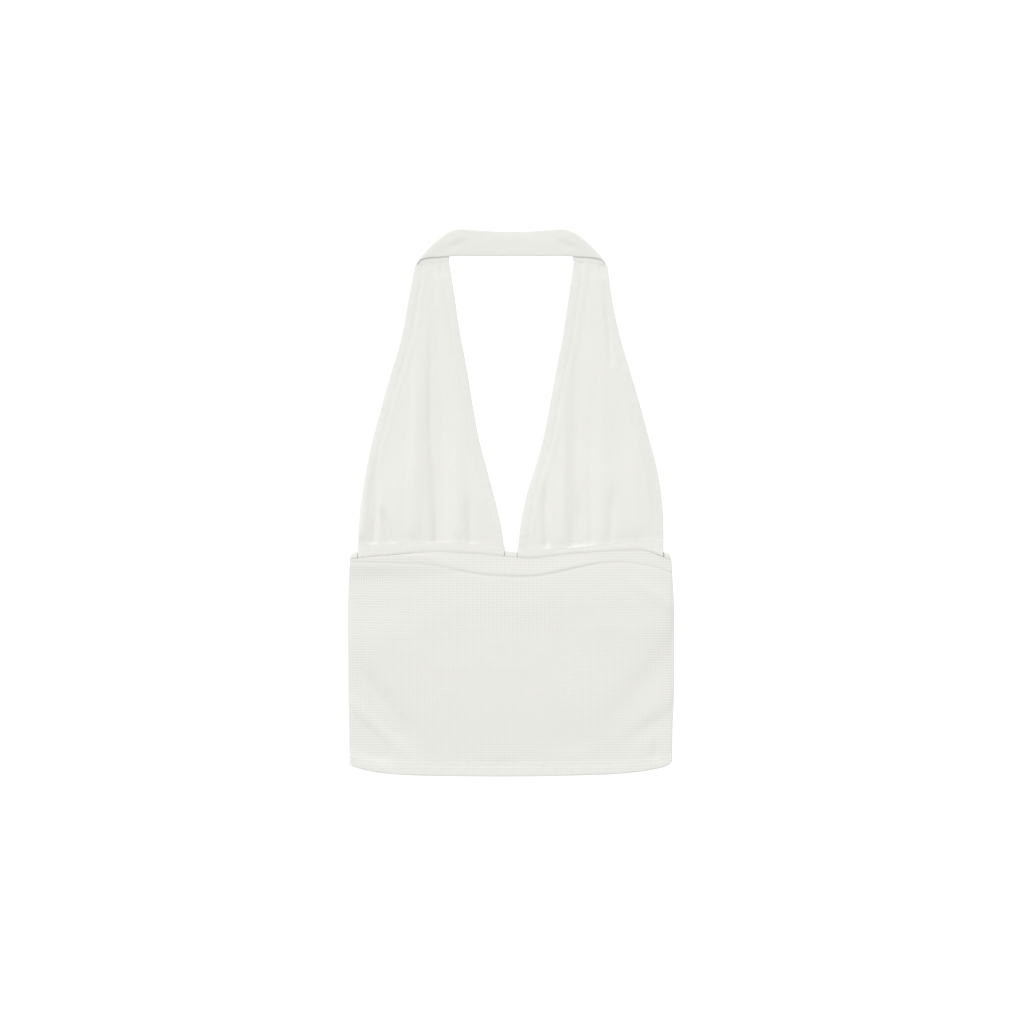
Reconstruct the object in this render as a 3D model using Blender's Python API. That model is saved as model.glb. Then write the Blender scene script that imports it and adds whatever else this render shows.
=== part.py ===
"""Off-white halter crop top with gathered cups, laid flat on its back.

Two cups, gathered along the underbust, narrow up to a neck strap that is folded over to the front
at both corners. A textured front and back panel make the body tube, which hangs from a narrow
underbust band. All sizes below are in millimetres, and finish_piece scales them to metres.
+Y runs towards the neck and +Z out of the surface that the top lies on. The origin is on that
surface, at the centre of the outline.
"""

import math
from collections import namedtuple

import bmesh
import bpy
import numpy as np

MM = 0.001

# Walls and gaps
SEWN_GAP = 0.3
CUP_WALL = 1.6
CUP_FOOT_WALL = 2.0
BODY_WALL = 1.8
STRAP_WALL = 2.0
BAND_THICKNESS = 1.3
HEM_EXTRA = 0.7
TURNED_EDGE_EXTRA = 0.5

# Places along the length, measured up from the middle of the outline
HEM_Y = -273.3
HEM_DEPTH = 12.5
BACK_TOP_Y = -49.6
CUP_HEAD_OUTER_Y = 235.8
CUP_HEAD_INNER_Y = 241.5

# The underbust
BAND_HEIGHT = 5.3
CORNER_ROUND = 6.0

# Turned edges of the cups, and how round the panels' edges are
TURNED_EDGE_WIDTH = 9.5
CUP_EDGE_ROUND = 1.6
BODY_EDGE_ROUND = 2.2

# How high the layers stand: the gap between them, the front off the back, the cups' feet over the
# band, the low crowns of a cup and of the front, and the soft roll at its ends and in its middle.
LAYER_GAP = 0.3
FRONT_STAND_OFF = 1.6
CUP_FOOT_LIFT = BODY_WALL + LAYER_GAP + BAND_THICKNESS + 0.1
CUP_CROWN = 1.4
FRONT_CROWN = 0.7
ROLL_LIFT_AT_END = 1.8
ROLL_LIFT_IN_MIDDLE = 2.7

BodySide = namedtuple("BodySide", "y left right")
BODY_SIDES = (
    BodySide(-262, -161.4, 161.0),
    BodySide(-242, -161.8, 161.2),
    BodySide(-206, -162.6, 162.6),
    BodySide(-150, -163.0, 163.0),
    BodySide(-110, -162.8, 162.8),
    BodySide(-75, -161.4, 161.2),
    BodySide(-50, -160.9, 159.9),
)

# The lower edge, which rises to its rounded corners
HemPoint = namedtuple("HemPoint", "x y")
HEM_LINE = (
    HemPoint(-163.0, -255.0),
    HemPoint(-161.0, -260.5),
    HemPoint(-156.0, -264.0),
    HemPoint(-149.5, -266.2),
    HemPoint(-128.5, -270.2),
    HemPoint(-101.5, -272.2),
    HemPoint(-50.0, -273.3),
    HemPoint(30.0, -273.3),
    HemPoint(72.5, -272.3),
    HemPoint(117.5, -270.0),
    HemPoint(143.5, -266.2),
    HemPoint(155.5, -262.8),
    HemPoint(160.5, -259.0),
    HemPoint(163.0, -254.0),
)

# Along the underbust: where the body meets the band, the crease under the soft roll that hangs
# below the band, and the line where the cups' gathers begin.
UnderbustLine = namedtuple("UnderbustLine", "x seam crease gather")
UNDERBUST = (
    UnderbustLine(-163, -56.6, -60.0, -42.5),
    UnderbustLine(-140, -54.2, -60.3, -41.5),
    UnderbustLine(-115, -52.2, -60.8, -40.6),
    UnderbustLine(-88, -49.9, -61.6, -40.2),
    UnderbustLine(-64, -49.6, -65.4, -40.0),
    UnderbustLine(-40, -50.6, -70.3, -40.8),
    UnderbustLine(-20, -52.4, -72.7, -42.0),
    UnderbustLine(0, -54.2, -73.9, -44.0),
    UnderbustLine(20, -55.4, -73.9, -45.8),
    UnderbustLine(45, -52.8, -70.0, -46.0),
    UnderbustLine(65, -50.6, -65.4, -44.8),
    UnderbustLine(92, -49.2, -60.4, -41.8),
    UnderbustLine(116, -47.8, -60.2, -39.0),
    UnderbustLine(130, -47.6, -62.0, -37.8),
    UnderbustLine(142, -50.4, -64.2, -37.4),
    UnderbustLine(151, -54.0, -67.0, -37.4),
    UnderbustLine(163, -58.6, -71.0, -37.4),
)

# Edges of the two cups at some heights: armhole and neckline of the left cup, then the right.
CupEdges = namedtuple("CupEdges", "y left_armhole left_neck right_neck right_armhole")
CUP_EDGES = (
    CupEdges(-47, -152.8, -6.4, 6.4, 152.2),
    CupEdges(-20, -152.0, -10.3, 9.6, 152.0),
    CupEdges(6, -149.6, -16.7, 14.8, 149.8),
    CupEdges(34, -144.9, -24.4, 23.4, 144.9),
    CupEdges(62, -138.9, -32.0, 31.6, 137.6),
    CupEdges(94, -130.2, -38.2, 38.2, 129.2),
    CupEdges(130, -120.0, -44.2, 45.0, 119.0),
    CupEdges(166, -109.3, -51.2, 52.2, 108.7),
    CupEdges(200, -103.2, -56.3, 57.3, 101.4),
    CupEdges(234, -96.7, -61.8, 62.5, 96.7),
)

# A fold runs from its foot to its head, bows sideways by bow, and lifts the cloth by lift.
# A negative lift is a trough.
Fold = namedtuple("Fold", "foot_x foot_y head_x head_y bow half_width lift")
LEFT_CUP_FOLDS = (
    Fold(-74.5, -37, -85.5, 175, 4.0, 6.0, -2.6),
    Fold(-71.0, -37, -70.5, 130, 0.0, 10.0, -0.9),
    Fold(-65.5, -37, -67.5, 55, 0.0, 3.5, -0.9),
    Fold(-109.5, -23, -97.5, 165, -2.0, 7.0, 1.5),
    Fold(-56.5, -26, -57.5, 85, 0.0, 4.0, 1.2),
    Fold(-122.5, -37, -119.5, 105, 0.0, 7.0, -1.1),
    Fold(-122.5, -37, -131.5, -8, 0.0, 3.5, -1.4),
    Fold(-141.5, -34, -130.5, 55, 0.0, 3.5, -1.2),
    Fold(-42.5, -38, -48.5, 45, 0.0, 5.0, -1.2),
    Fold(-96.5, 172, -89.5, 222, 0.0, 3.5, -0.7),
)
RIGHT_CUP_FOLDS = (
    Fold(52.5, -37, 57.5, 185, -2.5, 4.5, -2.2),
    Fold(69.5, -37, 65.5, 130, 0.0, 10.0, -0.9),
    Fold(82.5, -37, 77.5, 95, 0.0, 3.5, -1.2),
    Fold(66.5, -37, 59.5, 3, 0.0, 4.0, -1.4),
    Fold(104.5, -37, 100.5, 45, 0.0, 5.0, -1.3),
    Fold(35.5, -38, 40.5, 55, 2.0, 4.0, -1.2),
    Fold(90.5, -3, 86.5, 130, 0.0, 6.0, 1.3),
    Fold(46.5, -3, 51.5, 80, 0.0, 4.0, 1.1),
    Fold(115.5, -36, 111.5, 95, 0.0, 6.0, 1.1),
    Fold(24.5, -3, 33.5, 75, 0.0, 4.5, 1.0),
    Fold(97.5, 162, 89.5, 217, 0.0, 3.5, -0.8),
)
BODY_FOLDS = (
    Fold(-172, -144, -92, -227, -4.0, 9.0, -1.9),
    Fold(-172, -203, -118, -244, -2.0, 7.0, -1.5),
    Fold(-168, -172, -116, -222, -2.0, 8.0, 0.9),
    Fold(-172, -71, -92, -65, 0.0, 7.0, -1.5),
    Fold(174, -130, 90, -224, 4.0, 9.0, -1.9),
    Fold(174, -196, 121, -243, 2.0, 7.0, -1.5),
    Fold(168, -164, 118, -216, 2.0, 8.0, 0.9),
    Fold(157, -89, 113, -64, 0.0, 5.0, 1.1),
    Fold(170, -113, 111, -76, 0.0, 6.0, -1.2),
    Fold(144, -264, 141, -228, 0.0, 4.0, -1.0),
    Fold(-40, -235, -20, -110, 0.0, 40.0, 0.6),
)

# The fine gathers above the cup's foot
GATHERS_PER_CUP = 13
GATHER_LIFT = 0.9
GATHER_RISE = 4.0
GATHER_LENGTH = 18.0
HEAD_GATHERS = 4
HEAD_GATHER_LIFT = 0.3

# Grid shares, from one edge of a panel to the other
CUP_COLUMNS = 52
CUP_ROW_HEIGHTS = (0, 2.5, 6, 10, 16, 24, 34, 47, 62, 80, 100, 122, 146, 172, 200, 230, 260, 276)
BODY_COLUMNS = 40
ROLL_ROW_SHARES = (0.0, 0.12, 0.35, 0.6, 0.8, 0.94, 1.06)
BODY_ROWS = 12
BACK_COLUMNS = 24
BACK_ROWS = 6
EDGE_STEP = 0.9
BAND_STATIONS = 32
BAND_RING_POINTS = 10

# The neck strap: matching points of its inner edge, which becomes the upper edge past the fold,
# and of its outer edge, which becomes the lower one. height is its mid-plane over the surface.
StrapStation = namedtuple("StrapStation", "inner_x inner_y outer_x outer_y height")
STRAP_UNDER = (
    StrapStation(-61.9, CUP_HEAD_INNER_Y + SEWN_GAP, -96.2, CUP_HEAD_OUTER_Y + SEWN_GAP, 1.0),
    StrapStation(-61.7, 250.0, -95.6, 236.8, 1.0),
    StrapStation(-61.4, 260.0, -94.9, 237.5, 1.0),
)
STRAP_FOLD = StrapStation(-61.1, 270.0, -94.0, 238.3, 1.0)
STRAP_FOLD_RADIUS = 1.35
STRAP_FOLD_BOW = 2.4
STRAP_FOLD_STEPS = 6
STRAP_OVER = (
    StrapStation(-58.8, 271.2, -92.4, 241.8, 3.7),
    StrapStation(-56.3, 272.2, -88.8, 245.0, 3.7),
    StrapStation(-53.8, 272.8, -80.5, 246.1, 3.7),
    StrapStation(-50.5, 273.1, -67.0, 246.3, 3.6),
    StrapStation(-45.5, 273.0, -53.5, 246.3, 2.9),
    StrapStation(-38.0, 272.6, -40.5, 246.3, 1.9),
    StrapStation(-26.0, 271.7, -26.5, 246.3, 1.2),
    StrapStation(-13.0, 271.1, -13.0, 246.4, 1.0),
    StrapStation(0.0, 270.9, 0.0, 246.5, 1.0),
)
STRAP_CROWN = 0.3
STRAP_EDGE_ROUND = 0.8

CREAM = (0.84, 0.84, 0.80, 1.0)
KNIT_CREAM = (0.80, 0.80, 0.76, 1.0)


def clear_scene():
    for obj in list(bpy.data.objects):
        bpy.data.objects.remove(obj, do_unlink=True)


def cloth(name, colour, roughness):
    material = bpy.data.materials.new(name)
    material.use_nodes = True
    shader = material.node_tree.nodes["Principled BSDF"]
    shader.inputs["Base Color"].default_value = colour
    shader.inputs["Roughness"].default_value = roughness
    shader.inputs["Metallic"].default_value = 0.0
    return material


def follow(rows, key, value, at):
    """A smooth curve through one named column of a table, read at the given places."""
    known = np.array([getattr(row, key) for row in rows], float)
    wanted = np.array([getattr(row, value) for row in rows], float)
    slopes = np.gradient(wanted, known)
    at = np.clip(np.asarray(at, float), known[0], known[-1])
    low = np.clip(np.searchsorted(known, at) - 1, 0, len(known) - 2)
    span = known[low + 1] - known[low]
    s = (at - known[low]) / span
    return (
        wanted[low] * (1 + 2 * s) * (1 - s) ** 2
        + slopes[low] * span * s * (1 - s) ** 2
        + wanted[low + 1] * s**2 * (3 - 2 * s)
        - slopes[low + 1] * span * s**2 * (1 - s)
    )


def step(low, high, value):
    """0 below low, 1 above high, and smooth between them."""
    s = np.clip((value - low) / (high - low), 0, 1)
    return s * s * (3 - 2 * s)


def folds_at(folds, x, y):
    """The height that a table of folds adds at each point."""
    total = np.zeros_like(x)
    for fold in folds:
        run = np.array([fold.head_x - fold.foot_x, fold.head_y - fold.foot_y])
        length = np.hypot(*run)
        along = ((x - fold.foot_x) * run[0] + (y - fold.foot_y) * run[1]) / length**2
        across = ((x - fold.foot_x) * run[1] - (y - fold.foot_y) * run[0]) / length
        middle = np.clip(along, 0, 1)
        across = across + 4 * fold.bow * middle * (1 - middle)
        ends = step(-0.03, 0.08, along) * (1 - step(0.55, 1.05, along))
        total += fold.lift * ends * np.exp(-((across / fold.half_width) ** 2))
    return total


def settled(lift):
    """Lifts the cloth softly clear of what it lies on, so that no trough sinks below it."""
    softness = 0.35
    return (lift + np.sqrt(lift**2 + softness**2)) / 2


def rounding(distance, radius):
    """1 at the cloth's edge and 0 from radius inwards, on a quarter circle."""
    share = np.clip(1 - distance / radius, 0, 1)
    return 1 - np.sqrt(1 - share**2)


def body_seam(x):
    return follow(UNDERBUST, "x", "seam", x)


def band_top(x):
    """The band's upper edge, with its rounded outer corners."""
    left, right = BODY_SIDES[-1].left, BODY_SIDES[-1].right
    from_end = np.clip(np.minimum(x - left, right - x), 0, CORNER_ROUND)
    share = 1 - from_end / CORNER_ROUND
    return body_seam(x) + BAND_HEIGHT * (0.15 + 0.85 * np.sqrt(1 - share**2))


def cup_foot(x):
    """The lower edge of a cup, which is sewn down over the band."""
    return body_seam(x) + SEWN_GAP


def gather_line(x):
    return follow(UNDERBUST, "x", "gather", x)


def cup_head(share):
    """The upper edge of a cup. share goes from its armhole side to its neckline side."""
    return CUP_HEAD_OUTER_Y + share * (CUP_HEAD_INNER_Y - CUP_HEAD_OUTER_Y)


def hem_edge(x):
    return follow(HEM_LINE, "x", "y", x)


def edge_shares(count, width):
    """Even shares across a panel, with one more point just inside each edge."""
    inside = EDGE_STEP / width
    even = np.linspace(0, 1, count - 1)[1:-1]
    return np.concatenate([[0, inside], even, [1 - inside, 1]])


def slope_of(height, x, y):
    reach = 0.5
    along_x = (height(x + reach, y) - height(x - reach, y)) / (2 * reach)
    along_y = (height(x, y + reach) - height(x, y - reach)) / (2 * reach)
    return np.sqrt(1 + along_x**2 + along_y**2)


def finish_piece(name, mesh, material):
    """Turns a bmesh in millimetres into a named object in metres, faces outwards."""
    bmesh.ops.recalc_face_normals(mesh, faces=mesh.faces)
    bmesh.ops.scale(mesh, vec=(MM, MM, MM), verts=mesh.verts)
    data = bpy.data.meshes.new(name)
    mesh.to_mesh(data)
    mesh.free()
    data.materials.append(material)
    data.shade_smooth()
    data.set_sharp_from_angle(angle=math.radians(50))
    obj = bpy.data.objects.new(name, data)
    bpy.context.scene.collection.objects.link(obj)
    return obj


def cloth_wall(name, upper, lower, material):
    """A closed wall between two grids of points, upper and lower, with a rim all round."""
    mesh = bmesh.new()
    sides = []
    for grid in (upper, lower):
        sides.append([[mesh.verts.new(point) for point in row] for row in grid])
    top, bottom = sides
    rows, columns = len(top), len(top[0])
    for r in range(rows - 1):
        for c in range(columns - 1):
            mesh.faces.new((top[r][c], top[r][c + 1], top[r + 1][c + 1], top[r + 1][c]))
            mesh.faces.new((bottom[r][c], bottom[r + 1][c], bottom[r + 1][c + 1], bottom[r][c + 1]))
    for r in range(rows - 1):
        for c in (0, columns - 1):
            mesh.faces.new((top[r][c], top[r + 1][c], bottom[r + 1][c], bottom[r][c]))
    for c in range(columns - 1):
        for r in (0, rows - 1):
            mesh.faces.new((top[r][c], top[r][c + 1], bottom[r][c + 1], bottom[r][c]))
    return finish_piece(name, mesh, material)


def wall_through_rings(name, rings, material):
    """A closed body through a row of rings that have the same number of points."""
    mesh = bmesh.new()
    loops = [[mesh.verts.new(point) for point in ring] for ring in rings]
    for near, far in zip(loops, loops[1:]):
        for i in range(len(near)):
            j = (i + 1) % len(near)
            mesh.faces.new((near[i], near[j], far[j], far[i]))
    mesh.faces.new(loops[0])
    mesh.faces.new(loops[-1])
    return finish_piece(name, mesh, material)


def edge_distance(x, y):
    """How far each point of a grid is from the panel's outline, near enough for rounding it."""
    sides = np.minimum(np.abs(x - x[:, :1]), np.abs(x[:, -1:] - x))
    ends = np.minimum(np.abs(y - y[:1]), np.abs(y[-1:] - y))
    return np.minimum(sides, ends)


def cup_lift(folds, armhole, neck, x, y):
    """How high the cup's underside stands: folds, gathers, a low crown and the rise to the band."""
    above_foot = y - cup_foot(x)
    above_gather = y - gather_line(x)
    share = np.clip((x - armhole(y)) / (neck(y) - armhole(y)), 0, 1)
    free = step(0, GATHER_RISE, above_gather)
    fade = np.exp(-above_gather / GATHER_LENGTH)
    wander = 0.9 * np.sin(2 * math.pi * 1.7 * share + 0.6) + 0.5 * np.sin(2 * math.pi * 4.3 * share)
    gathers = GATHER_LIFT * fade * np.cos(2 * math.pi * GATHERS_PER_CUP * share + wander)
    head = step(200, CUP_HEAD_OUTER_Y, y)
    head_gathers = HEAD_GATHER_LIFT * head * np.cos(2 * math.pi * HEAD_GATHERS * share)
    crown = CUP_CROWN * np.sin(math.pi * share) * step(6, 60, above_foot) * (1 - step(100, 250, y))
    rise = CUP_FOOT_LIFT * (1 - step(BAND_HEIGHT + 2, 38, above_foot))
    return settled(0.3 + crown + rise + head_gathers + free * (gathers + folds_at(folds, x, y)))


def make_cup(name, folds, armhole, neck, material):
    """One gathered cup: rows run from its foot on the band up to its narrow head."""
    foot_level = CUP_EDGES[0].y
    rows_x, rows_y = [], []

    def add_row(level, line):
        left, right = armhole(level), neck(level)
        shares = edge_shares(CUP_COLUMNS, abs(right - left))
        x = left + shares * (right - left)
        rows_x.append(x)
        rows_y.append(line(x, shares))

    for share in (0.0, 0.1, 0.5):
        add_row(foot_level, lambda x, _: cup_foot(x) + share * (gather_line(x) - cup_foot(x)))
    gather_level = float(gather_line(0.5 * (armhole(foot_level) + neck(foot_level))))
    total = CUP_ROW_HEIGHTS[-1]
    for height in CUP_ROW_HEIGHTS[:-1] + (total - EDGE_STEP, total):
        level = gather_level + height / total * (CUP_HEAD_OUTER_Y - gather_level)
        add_row(
            level,
            lambda x, across: gather_line(x) + height / total * (cup_head(across) - gather_line(x)),
        )
    x, y = np.array(rows_x), np.array(rows_y)

    def lift(px, py):
        return cup_lift(folds, armhole, neck, px, py)

    edge = edge_distance(x, y)
    side = np.minimum(np.abs(x - x[:, :1]), np.abs(x[:, -1:] - x))
    turned = TURNED_EDGE_EXTRA * (1 - step(TURNED_EDGE_WIDTH - 2.5, TURNED_EDGE_WIDTH, side))
    strip = (CUP_FOOT_WALL - CUP_WALL) * (1 - step(-1, 1, y - gather_line(x)))
    wall = (CUP_WALL + np.maximum(turned, strip)) * slope_of(lift, x, y)
    under = lift(x, y)
    rounded = CUP_WALL * rounding(edge, CUP_EDGE_ROUND)
    upper = under + wall - 0.5 * rounded
    lower = np.maximum(under - 0.06, 0.0) + 0.25 * rounded
    return cloth_wall(name, np.dstack([x, y, upper]), np.dstack([x, y, lower]), material)


def roll_under_band(x, y):
    """The soft roll below the band. It is fullest in the middle and fades out on the right."""
    seam = body_seam(x)
    crease = follow(UNDERBUST, "x", "crease", x)
    share = (seam - y) / (seam - crease)
    fullness = ROLL_LIFT_AT_END + (ROLL_LIFT_IN_MIDDLE - ROLL_LIFT_AT_END) * step(-110, -40, x)
    fullness = fullness * (1 - 0.8 * step(60, 108, x))
    hump = step(0.0, 0.5, share) * (1 - step(0.72, 1.06, share))
    nip = np.exp(-(((share - 1.1) / 0.16) ** 2))
    return fullness * (hump - 0.2 * nip)


def front_lift(x, y):
    """How high the front panel's underside stands above the back panel."""
    half = 0.5 * (BODY_SIDES[2].right - BODY_SIDES[2].left)
    crown = FRONT_CROWN * np.clip(1 - (x / half) ** 4, 0, 1) * step(0, 40, y - HEM_Y)
    near_side = np.clip(1 - (np.abs(x) / half) ** 24, 0, 1)
    lift = FRONT_STAND_OFF * near_side + crown + roll_under_band(x, y)
    return settled(lift + folds_at(BODY_FOLDS, x, y) * step(2, 16, y - hem_edge(x)))


def body_grid(columns, row_lines):
    """Points across the body on each row line, a function of x that gives y."""
    across = edge_shares(columns, BODY_SIDES[2].right - BODY_SIDES[2].left)
    rows_x, rows_y = [], []
    for line in row_lines:
        level = float(line(np.array(0.0)))
        left = float(follow(BODY_SIDES, "y", "left", level))
        right = float(follow(BODY_SIDES, "y", "right", level))
        x = left + across * (right - left)
        rows_x.append(x)
        rows_y.append(line(x))
    return np.array(rows_x), np.array(rows_y)


def between(upper_line, lower_line, share):
    return lambda x: upper_line(x) * (1 - share) + lower_line(x) * share


def make_body_front(material):
    """The front panel: rows follow the seam, the roll and its crease, then spread to the hem."""

    def top_line(x):
        return body_seam(x) - SEWN_GAP

    def crease_line(x):
        return follow(UNDERBUST, "x", "crease", x)

    def hem_fold(x):
        return hem_edge(x) * 0.6 + HEM_Y * 0.4 + HEM_DEPTH

    def last_roll_row(x):
        return between(top_line, crease_line, ROLL_ROW_SHARES[-1])(x)

    lines = [between(top_line, crease_line, share) for share in ROLL_ROW_SHARES]
    lines += [
        between(last_roll_row, lambda x: hem_fold(x) + 1.6, (i + 1) / BODY_ROWS)
        for i in range(BODY_ROWS)
    ]
    lines += [hem_fold, lambda x: hem_edge(x) + 6.0, lambda x: hem_edge(x) + EDGE_STEP, hem_edge]
    x, y = body_grid(BODY_COLUMNS, lines)
    edge = edge_distance(x, y)
    hem = HEM_EXTRA * (1 - step(-0.4, 1.2, y - hem_fold(x)))
    wall = (BODY_WALL + hem) * np.minimum(slope_of(front_lift, x, y), 1.35)
    under = BODY_WALL + LAYER_GAP + front_lift(x, y)
    upper = under + wall - 0.55 * BODY_WALL * rounding(edge, BODY_EDGE_ROUND)
    lower = under + 0.1 * rounding(edge, BODY_EDGE_ROUND)
    return cloth_wall("body_front", np.dstack([x, y, upper]), np.dstack([x, y, lower]), material)


def make_body_back(material):
    """The back panel lies flat on the surface, with plain turned edges."""

    def top_line(x):
        left, right = BODY_SIDES[-1].left, BODY_SIDES[-1].right
        from_end = np.clip(np.minimum(x - left, right - x), 0, CORNER_ROUND)
        return BACK_TOP_Y - CORNER_ROUND * rounding(from_end, CORNER_ROUND)

    lines = [top_line, lambda x: top_line(x) - EDGE_STEP]
    lines += [between(top_line, hem_edge, (i + 1) / BACK_ROWS) for i in range(BACK_ROWS - 1)]
    lines += [lambda x: hem_edge(x) + 4.0, lambda x: hem_edge(x) + EDGE_STEP, hem_edge]
    x, y = body_grid(BACK_COLUMNS, lines)
    edge = edge_distance(x, y)
    upper = BODY_WALL - 0.1 * rounding(edge, BODY_EDGE_ROUND)
    lower = 0.5 * BODY_WALL * rounding(edge, BODY_EDGE_ROUND)
    return cloth_wall("body_back", np.dstack([x, y, upper]), np.dstack([x, y, lower]), material)


def make_underbust_band(material):
    """A narrow band, in rings from side to side, that follows the wavy seam."""
    left, right = BODY_SIDES[-1].left, BODY_SIDES[-1].right
    ends = np.array([0.0, 0.5, 1.4, 2.8, 4.5, 7.0])
    inner = np.linspace(left + 2 * ends[-1], right - 2 * ends[-1], BAND_STATIONS)
    stations = np.concatenate([left + ends, inner, (right - ends)[::-1]])
    floor = BODY_WALL + LAYER_GAP
    rings = []
    for x in stations:
        low, high = float(body_seam(x)), float(band_top(x))
        middle, half = (low + high) / 2, (high - low) / 2
        thick = BAND_THICKNESS * min(1.0, 0.55 + 0.45 * half / (BAND_HEIGHT / 2))
        ring = []
        for i in range(BAND_RING_POINTS):
            angle = 2 * math.pi * (i + 0.5) / BAND_RING_POINTS
            across = math.copysign(abs(math.cos(angle)) ** 0.7, math.cos(angle))
            up = math.copysign(abs(math.sin(angle)) ** 0.7, math.sin(angle))
            ring.append((x, middle + half * across, floor + thick * (1 + up) / 2))
        rings.append(ring)
    return wall_through_rings("underbust_band", rings, material)


def strap_ring(station, turn, roll_radius=0.0, bow=0.0):
    """A cross-section from the strap's inner edge to its outer edge. turn is 0 where the strap lies
    face down and pi where it is face up. Round the fold, its middle bows outwards."""
    up = np.array([0.0, 0.0, 1.0])
    inner = np.array([station.inner_x, station.inner_y, 0.0])
    outer = np.array([station.outer_x, station.outer_y, 0.0])
    width = np.linalg.norm(outer - inner)
    across = (outer - inner) / width
    outward = np.array([across[1], -across[0], 0.0])
    face = outward * math.sin(turn) - up * math.cos(turn)
    start = inner + up * station.height + roll_radius * (face + up)
    inside = STRAP_EDGE_ROUND / width
    shares = [inside, 0.2, 0.4, 0.6, 0.8, 1 - inside]

    def at(share, side):
        arch = 4 * share * (1 - share)
        crown = (STRAP_CROWN * up * (1 - roll_radius / STRAP_FOLD_RADIUS) + bow * outward) * arch
        return tuple(start + across * width * share + crown + face * side * STRAP_WALL / 2)

    ring = [at(0.0, 0)]
    ring += [at(share, 1) for share in shares]
    ring += [at(1.0, 0)]
    ring += [at(share, -1) for share in reversed(shares)]
    return ring


def make_neck_strap(material):
    """The strap runs face down from one cup, folds over, crosses behind the neck and folds back."""
    half = []
    for i, station in enumerate(STRAP_UNDER):
        half.append(strap_ring(station, 0.0, 0.0, STRAP_FOLD_BOW * i / len(STRAP_UNDER)))
    for i in range(STRAP_FOLD_STEPS + 1):
        turn = math.pi * i / STRAP_FOLD_STEPS
        half.append(strap_ring(STRAP_FOLD, turn, STRAP_FOLD_RADIUS, STRAP_FOLD_BOW))
    for i, station in enumerate(STRAP_OVER):
        half.append(strap_ring(station, math.pi, 0.0, STRAP_FOLD_BOW * max(0.0, 1 - (i + 1) / 4)))
    mirrored = [[(-x, y, z) for x, y, z in ring] for ring in reversed(half[:-1])]
    return wall_through_rings("neck_strap", half + mirrored, material)


def cup_edge(column):
    return lambda y: follow(CUP_EDGES, "y", column, y)


def main():
    clear_scene()
    cup_cloth = cloth("cup_cloth", CREAM, 0.85)
    body_cloth = cloth("body_cloth", KNIT_CREAM, 0.9)
    strap_cloth = cloth("strap_cloth", CREAM, 0.85)
    make_body_back(body_cloth)
    make_body_front(body_cloth)
    make_underbust_band(strap_cloth)
    make_cup("cup_left", LEFT_CUP_FOLDS, cup_edge("left_armhole"), cup_edge("left_neck"), cup_cloth)
    make_cup("cup_right", RIGHT_CUP_FOLDS, cup_edge("right_armhole"), cup_edge("right_neck"), cup_cloth)
    make_neck_strap(strap_cloth)


main()
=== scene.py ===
"""Looks of an off-white halter crop top, laid flat on a pale floor and seen from straight above.

Every panel is a thin closed shell of cloth that lies where its solid lies. Its folds, gathers, turned
edges and stitches are worked out from the short tables below. Sizes are in millimetres and become
metres in the mesh makers. +Y runs towards the neck and +Z up out of the floor.
"""

import math
from collections import namedtuple

import bpy
import numpy as np
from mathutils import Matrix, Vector


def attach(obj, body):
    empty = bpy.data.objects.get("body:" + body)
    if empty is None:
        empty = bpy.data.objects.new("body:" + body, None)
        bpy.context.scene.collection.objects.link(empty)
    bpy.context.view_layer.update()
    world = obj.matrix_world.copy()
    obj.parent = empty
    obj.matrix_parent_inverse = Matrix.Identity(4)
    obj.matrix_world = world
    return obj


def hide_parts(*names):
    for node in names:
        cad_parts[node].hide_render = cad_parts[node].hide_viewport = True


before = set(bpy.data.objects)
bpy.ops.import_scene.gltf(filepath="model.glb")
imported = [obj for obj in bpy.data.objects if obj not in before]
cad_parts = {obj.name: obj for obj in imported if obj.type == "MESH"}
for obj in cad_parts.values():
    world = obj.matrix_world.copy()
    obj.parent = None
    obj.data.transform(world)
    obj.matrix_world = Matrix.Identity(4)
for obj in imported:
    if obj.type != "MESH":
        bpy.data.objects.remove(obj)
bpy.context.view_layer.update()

MM = 0.001

# Walls and gaps
SEWN_GAP = 0.02
LAYER_GAP = 0.2
CUP_WALL = 1.2
CUP_FOOT_WALL = 1.45
CUP_UNDER_SLACK = 0.06
BODY_WALL = 1.4
BACK_WALL = 1.2
STRAP_WALL = 1.1
BAND_THICKNESS = 0.9
TURNED_EXTRA = 0.4
HEM_EXTRA = 0.5

# The underbust band, the turned edges and the hem
BAND_HEIGHT = 5.3
BAND_END_SHARE = 0.15
CORNER_ROUND = 6.0
TURNED_WIDTH = 9.3
HEM_DEPTH = 12.5
HEM_FOLLOWS_EDGE = 0.6
BACK_TOP_Y = -49.6
CUP_HEAD_OUTER_Y = 235.8
CUP_HEAD_INNER_Y = 241.5

# Every ramp below says where a form begins to change and where the change is complete.

# The cups: how high they stand, and where their crown and their relief come in
CUP_FOOT_STAND = 0.9
CUP_FOOT_LIFT = BACK_WALL + LAYER_GAP + BAND_THICKNESS + CUP_FOOT_STAND
CUP_RISE_END = 125.0
CUP_FOOT_FALL = 0.4
CUP_FOOT_FALL_REACH = 2.4
CUP_REST_LIFT = 0.3
CUP_CROWN = 3.0
CROWN_RAMP = (0, 85)
CROWN_FADE = 0.8
CROWN_FADE_RAMP = (100, 250)
LEFT_SHOULDER = 30.0
RIGHT_SHOULDER = 8.0
FLAT_HEAD_RAMP = (-14, -2)
FOOT_WALL_RAMP = (-1.0, 3.0)
RELIEF_RAMP = (0, 14)
GATHER_STEP = 0.25
GATHER_PUFF = 0.25
GATHER_PUFF_RAMP = (15, 75)
TURNED_RAMP = (-1.6, 1.2)
TURNED_PUFF = 0.35
TURNED_PUFF_INSET = 3.5
TURNED_PUFF_WIDTH = 3.0
TURNED_PUFF_RAMP = (6, 30)
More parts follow.
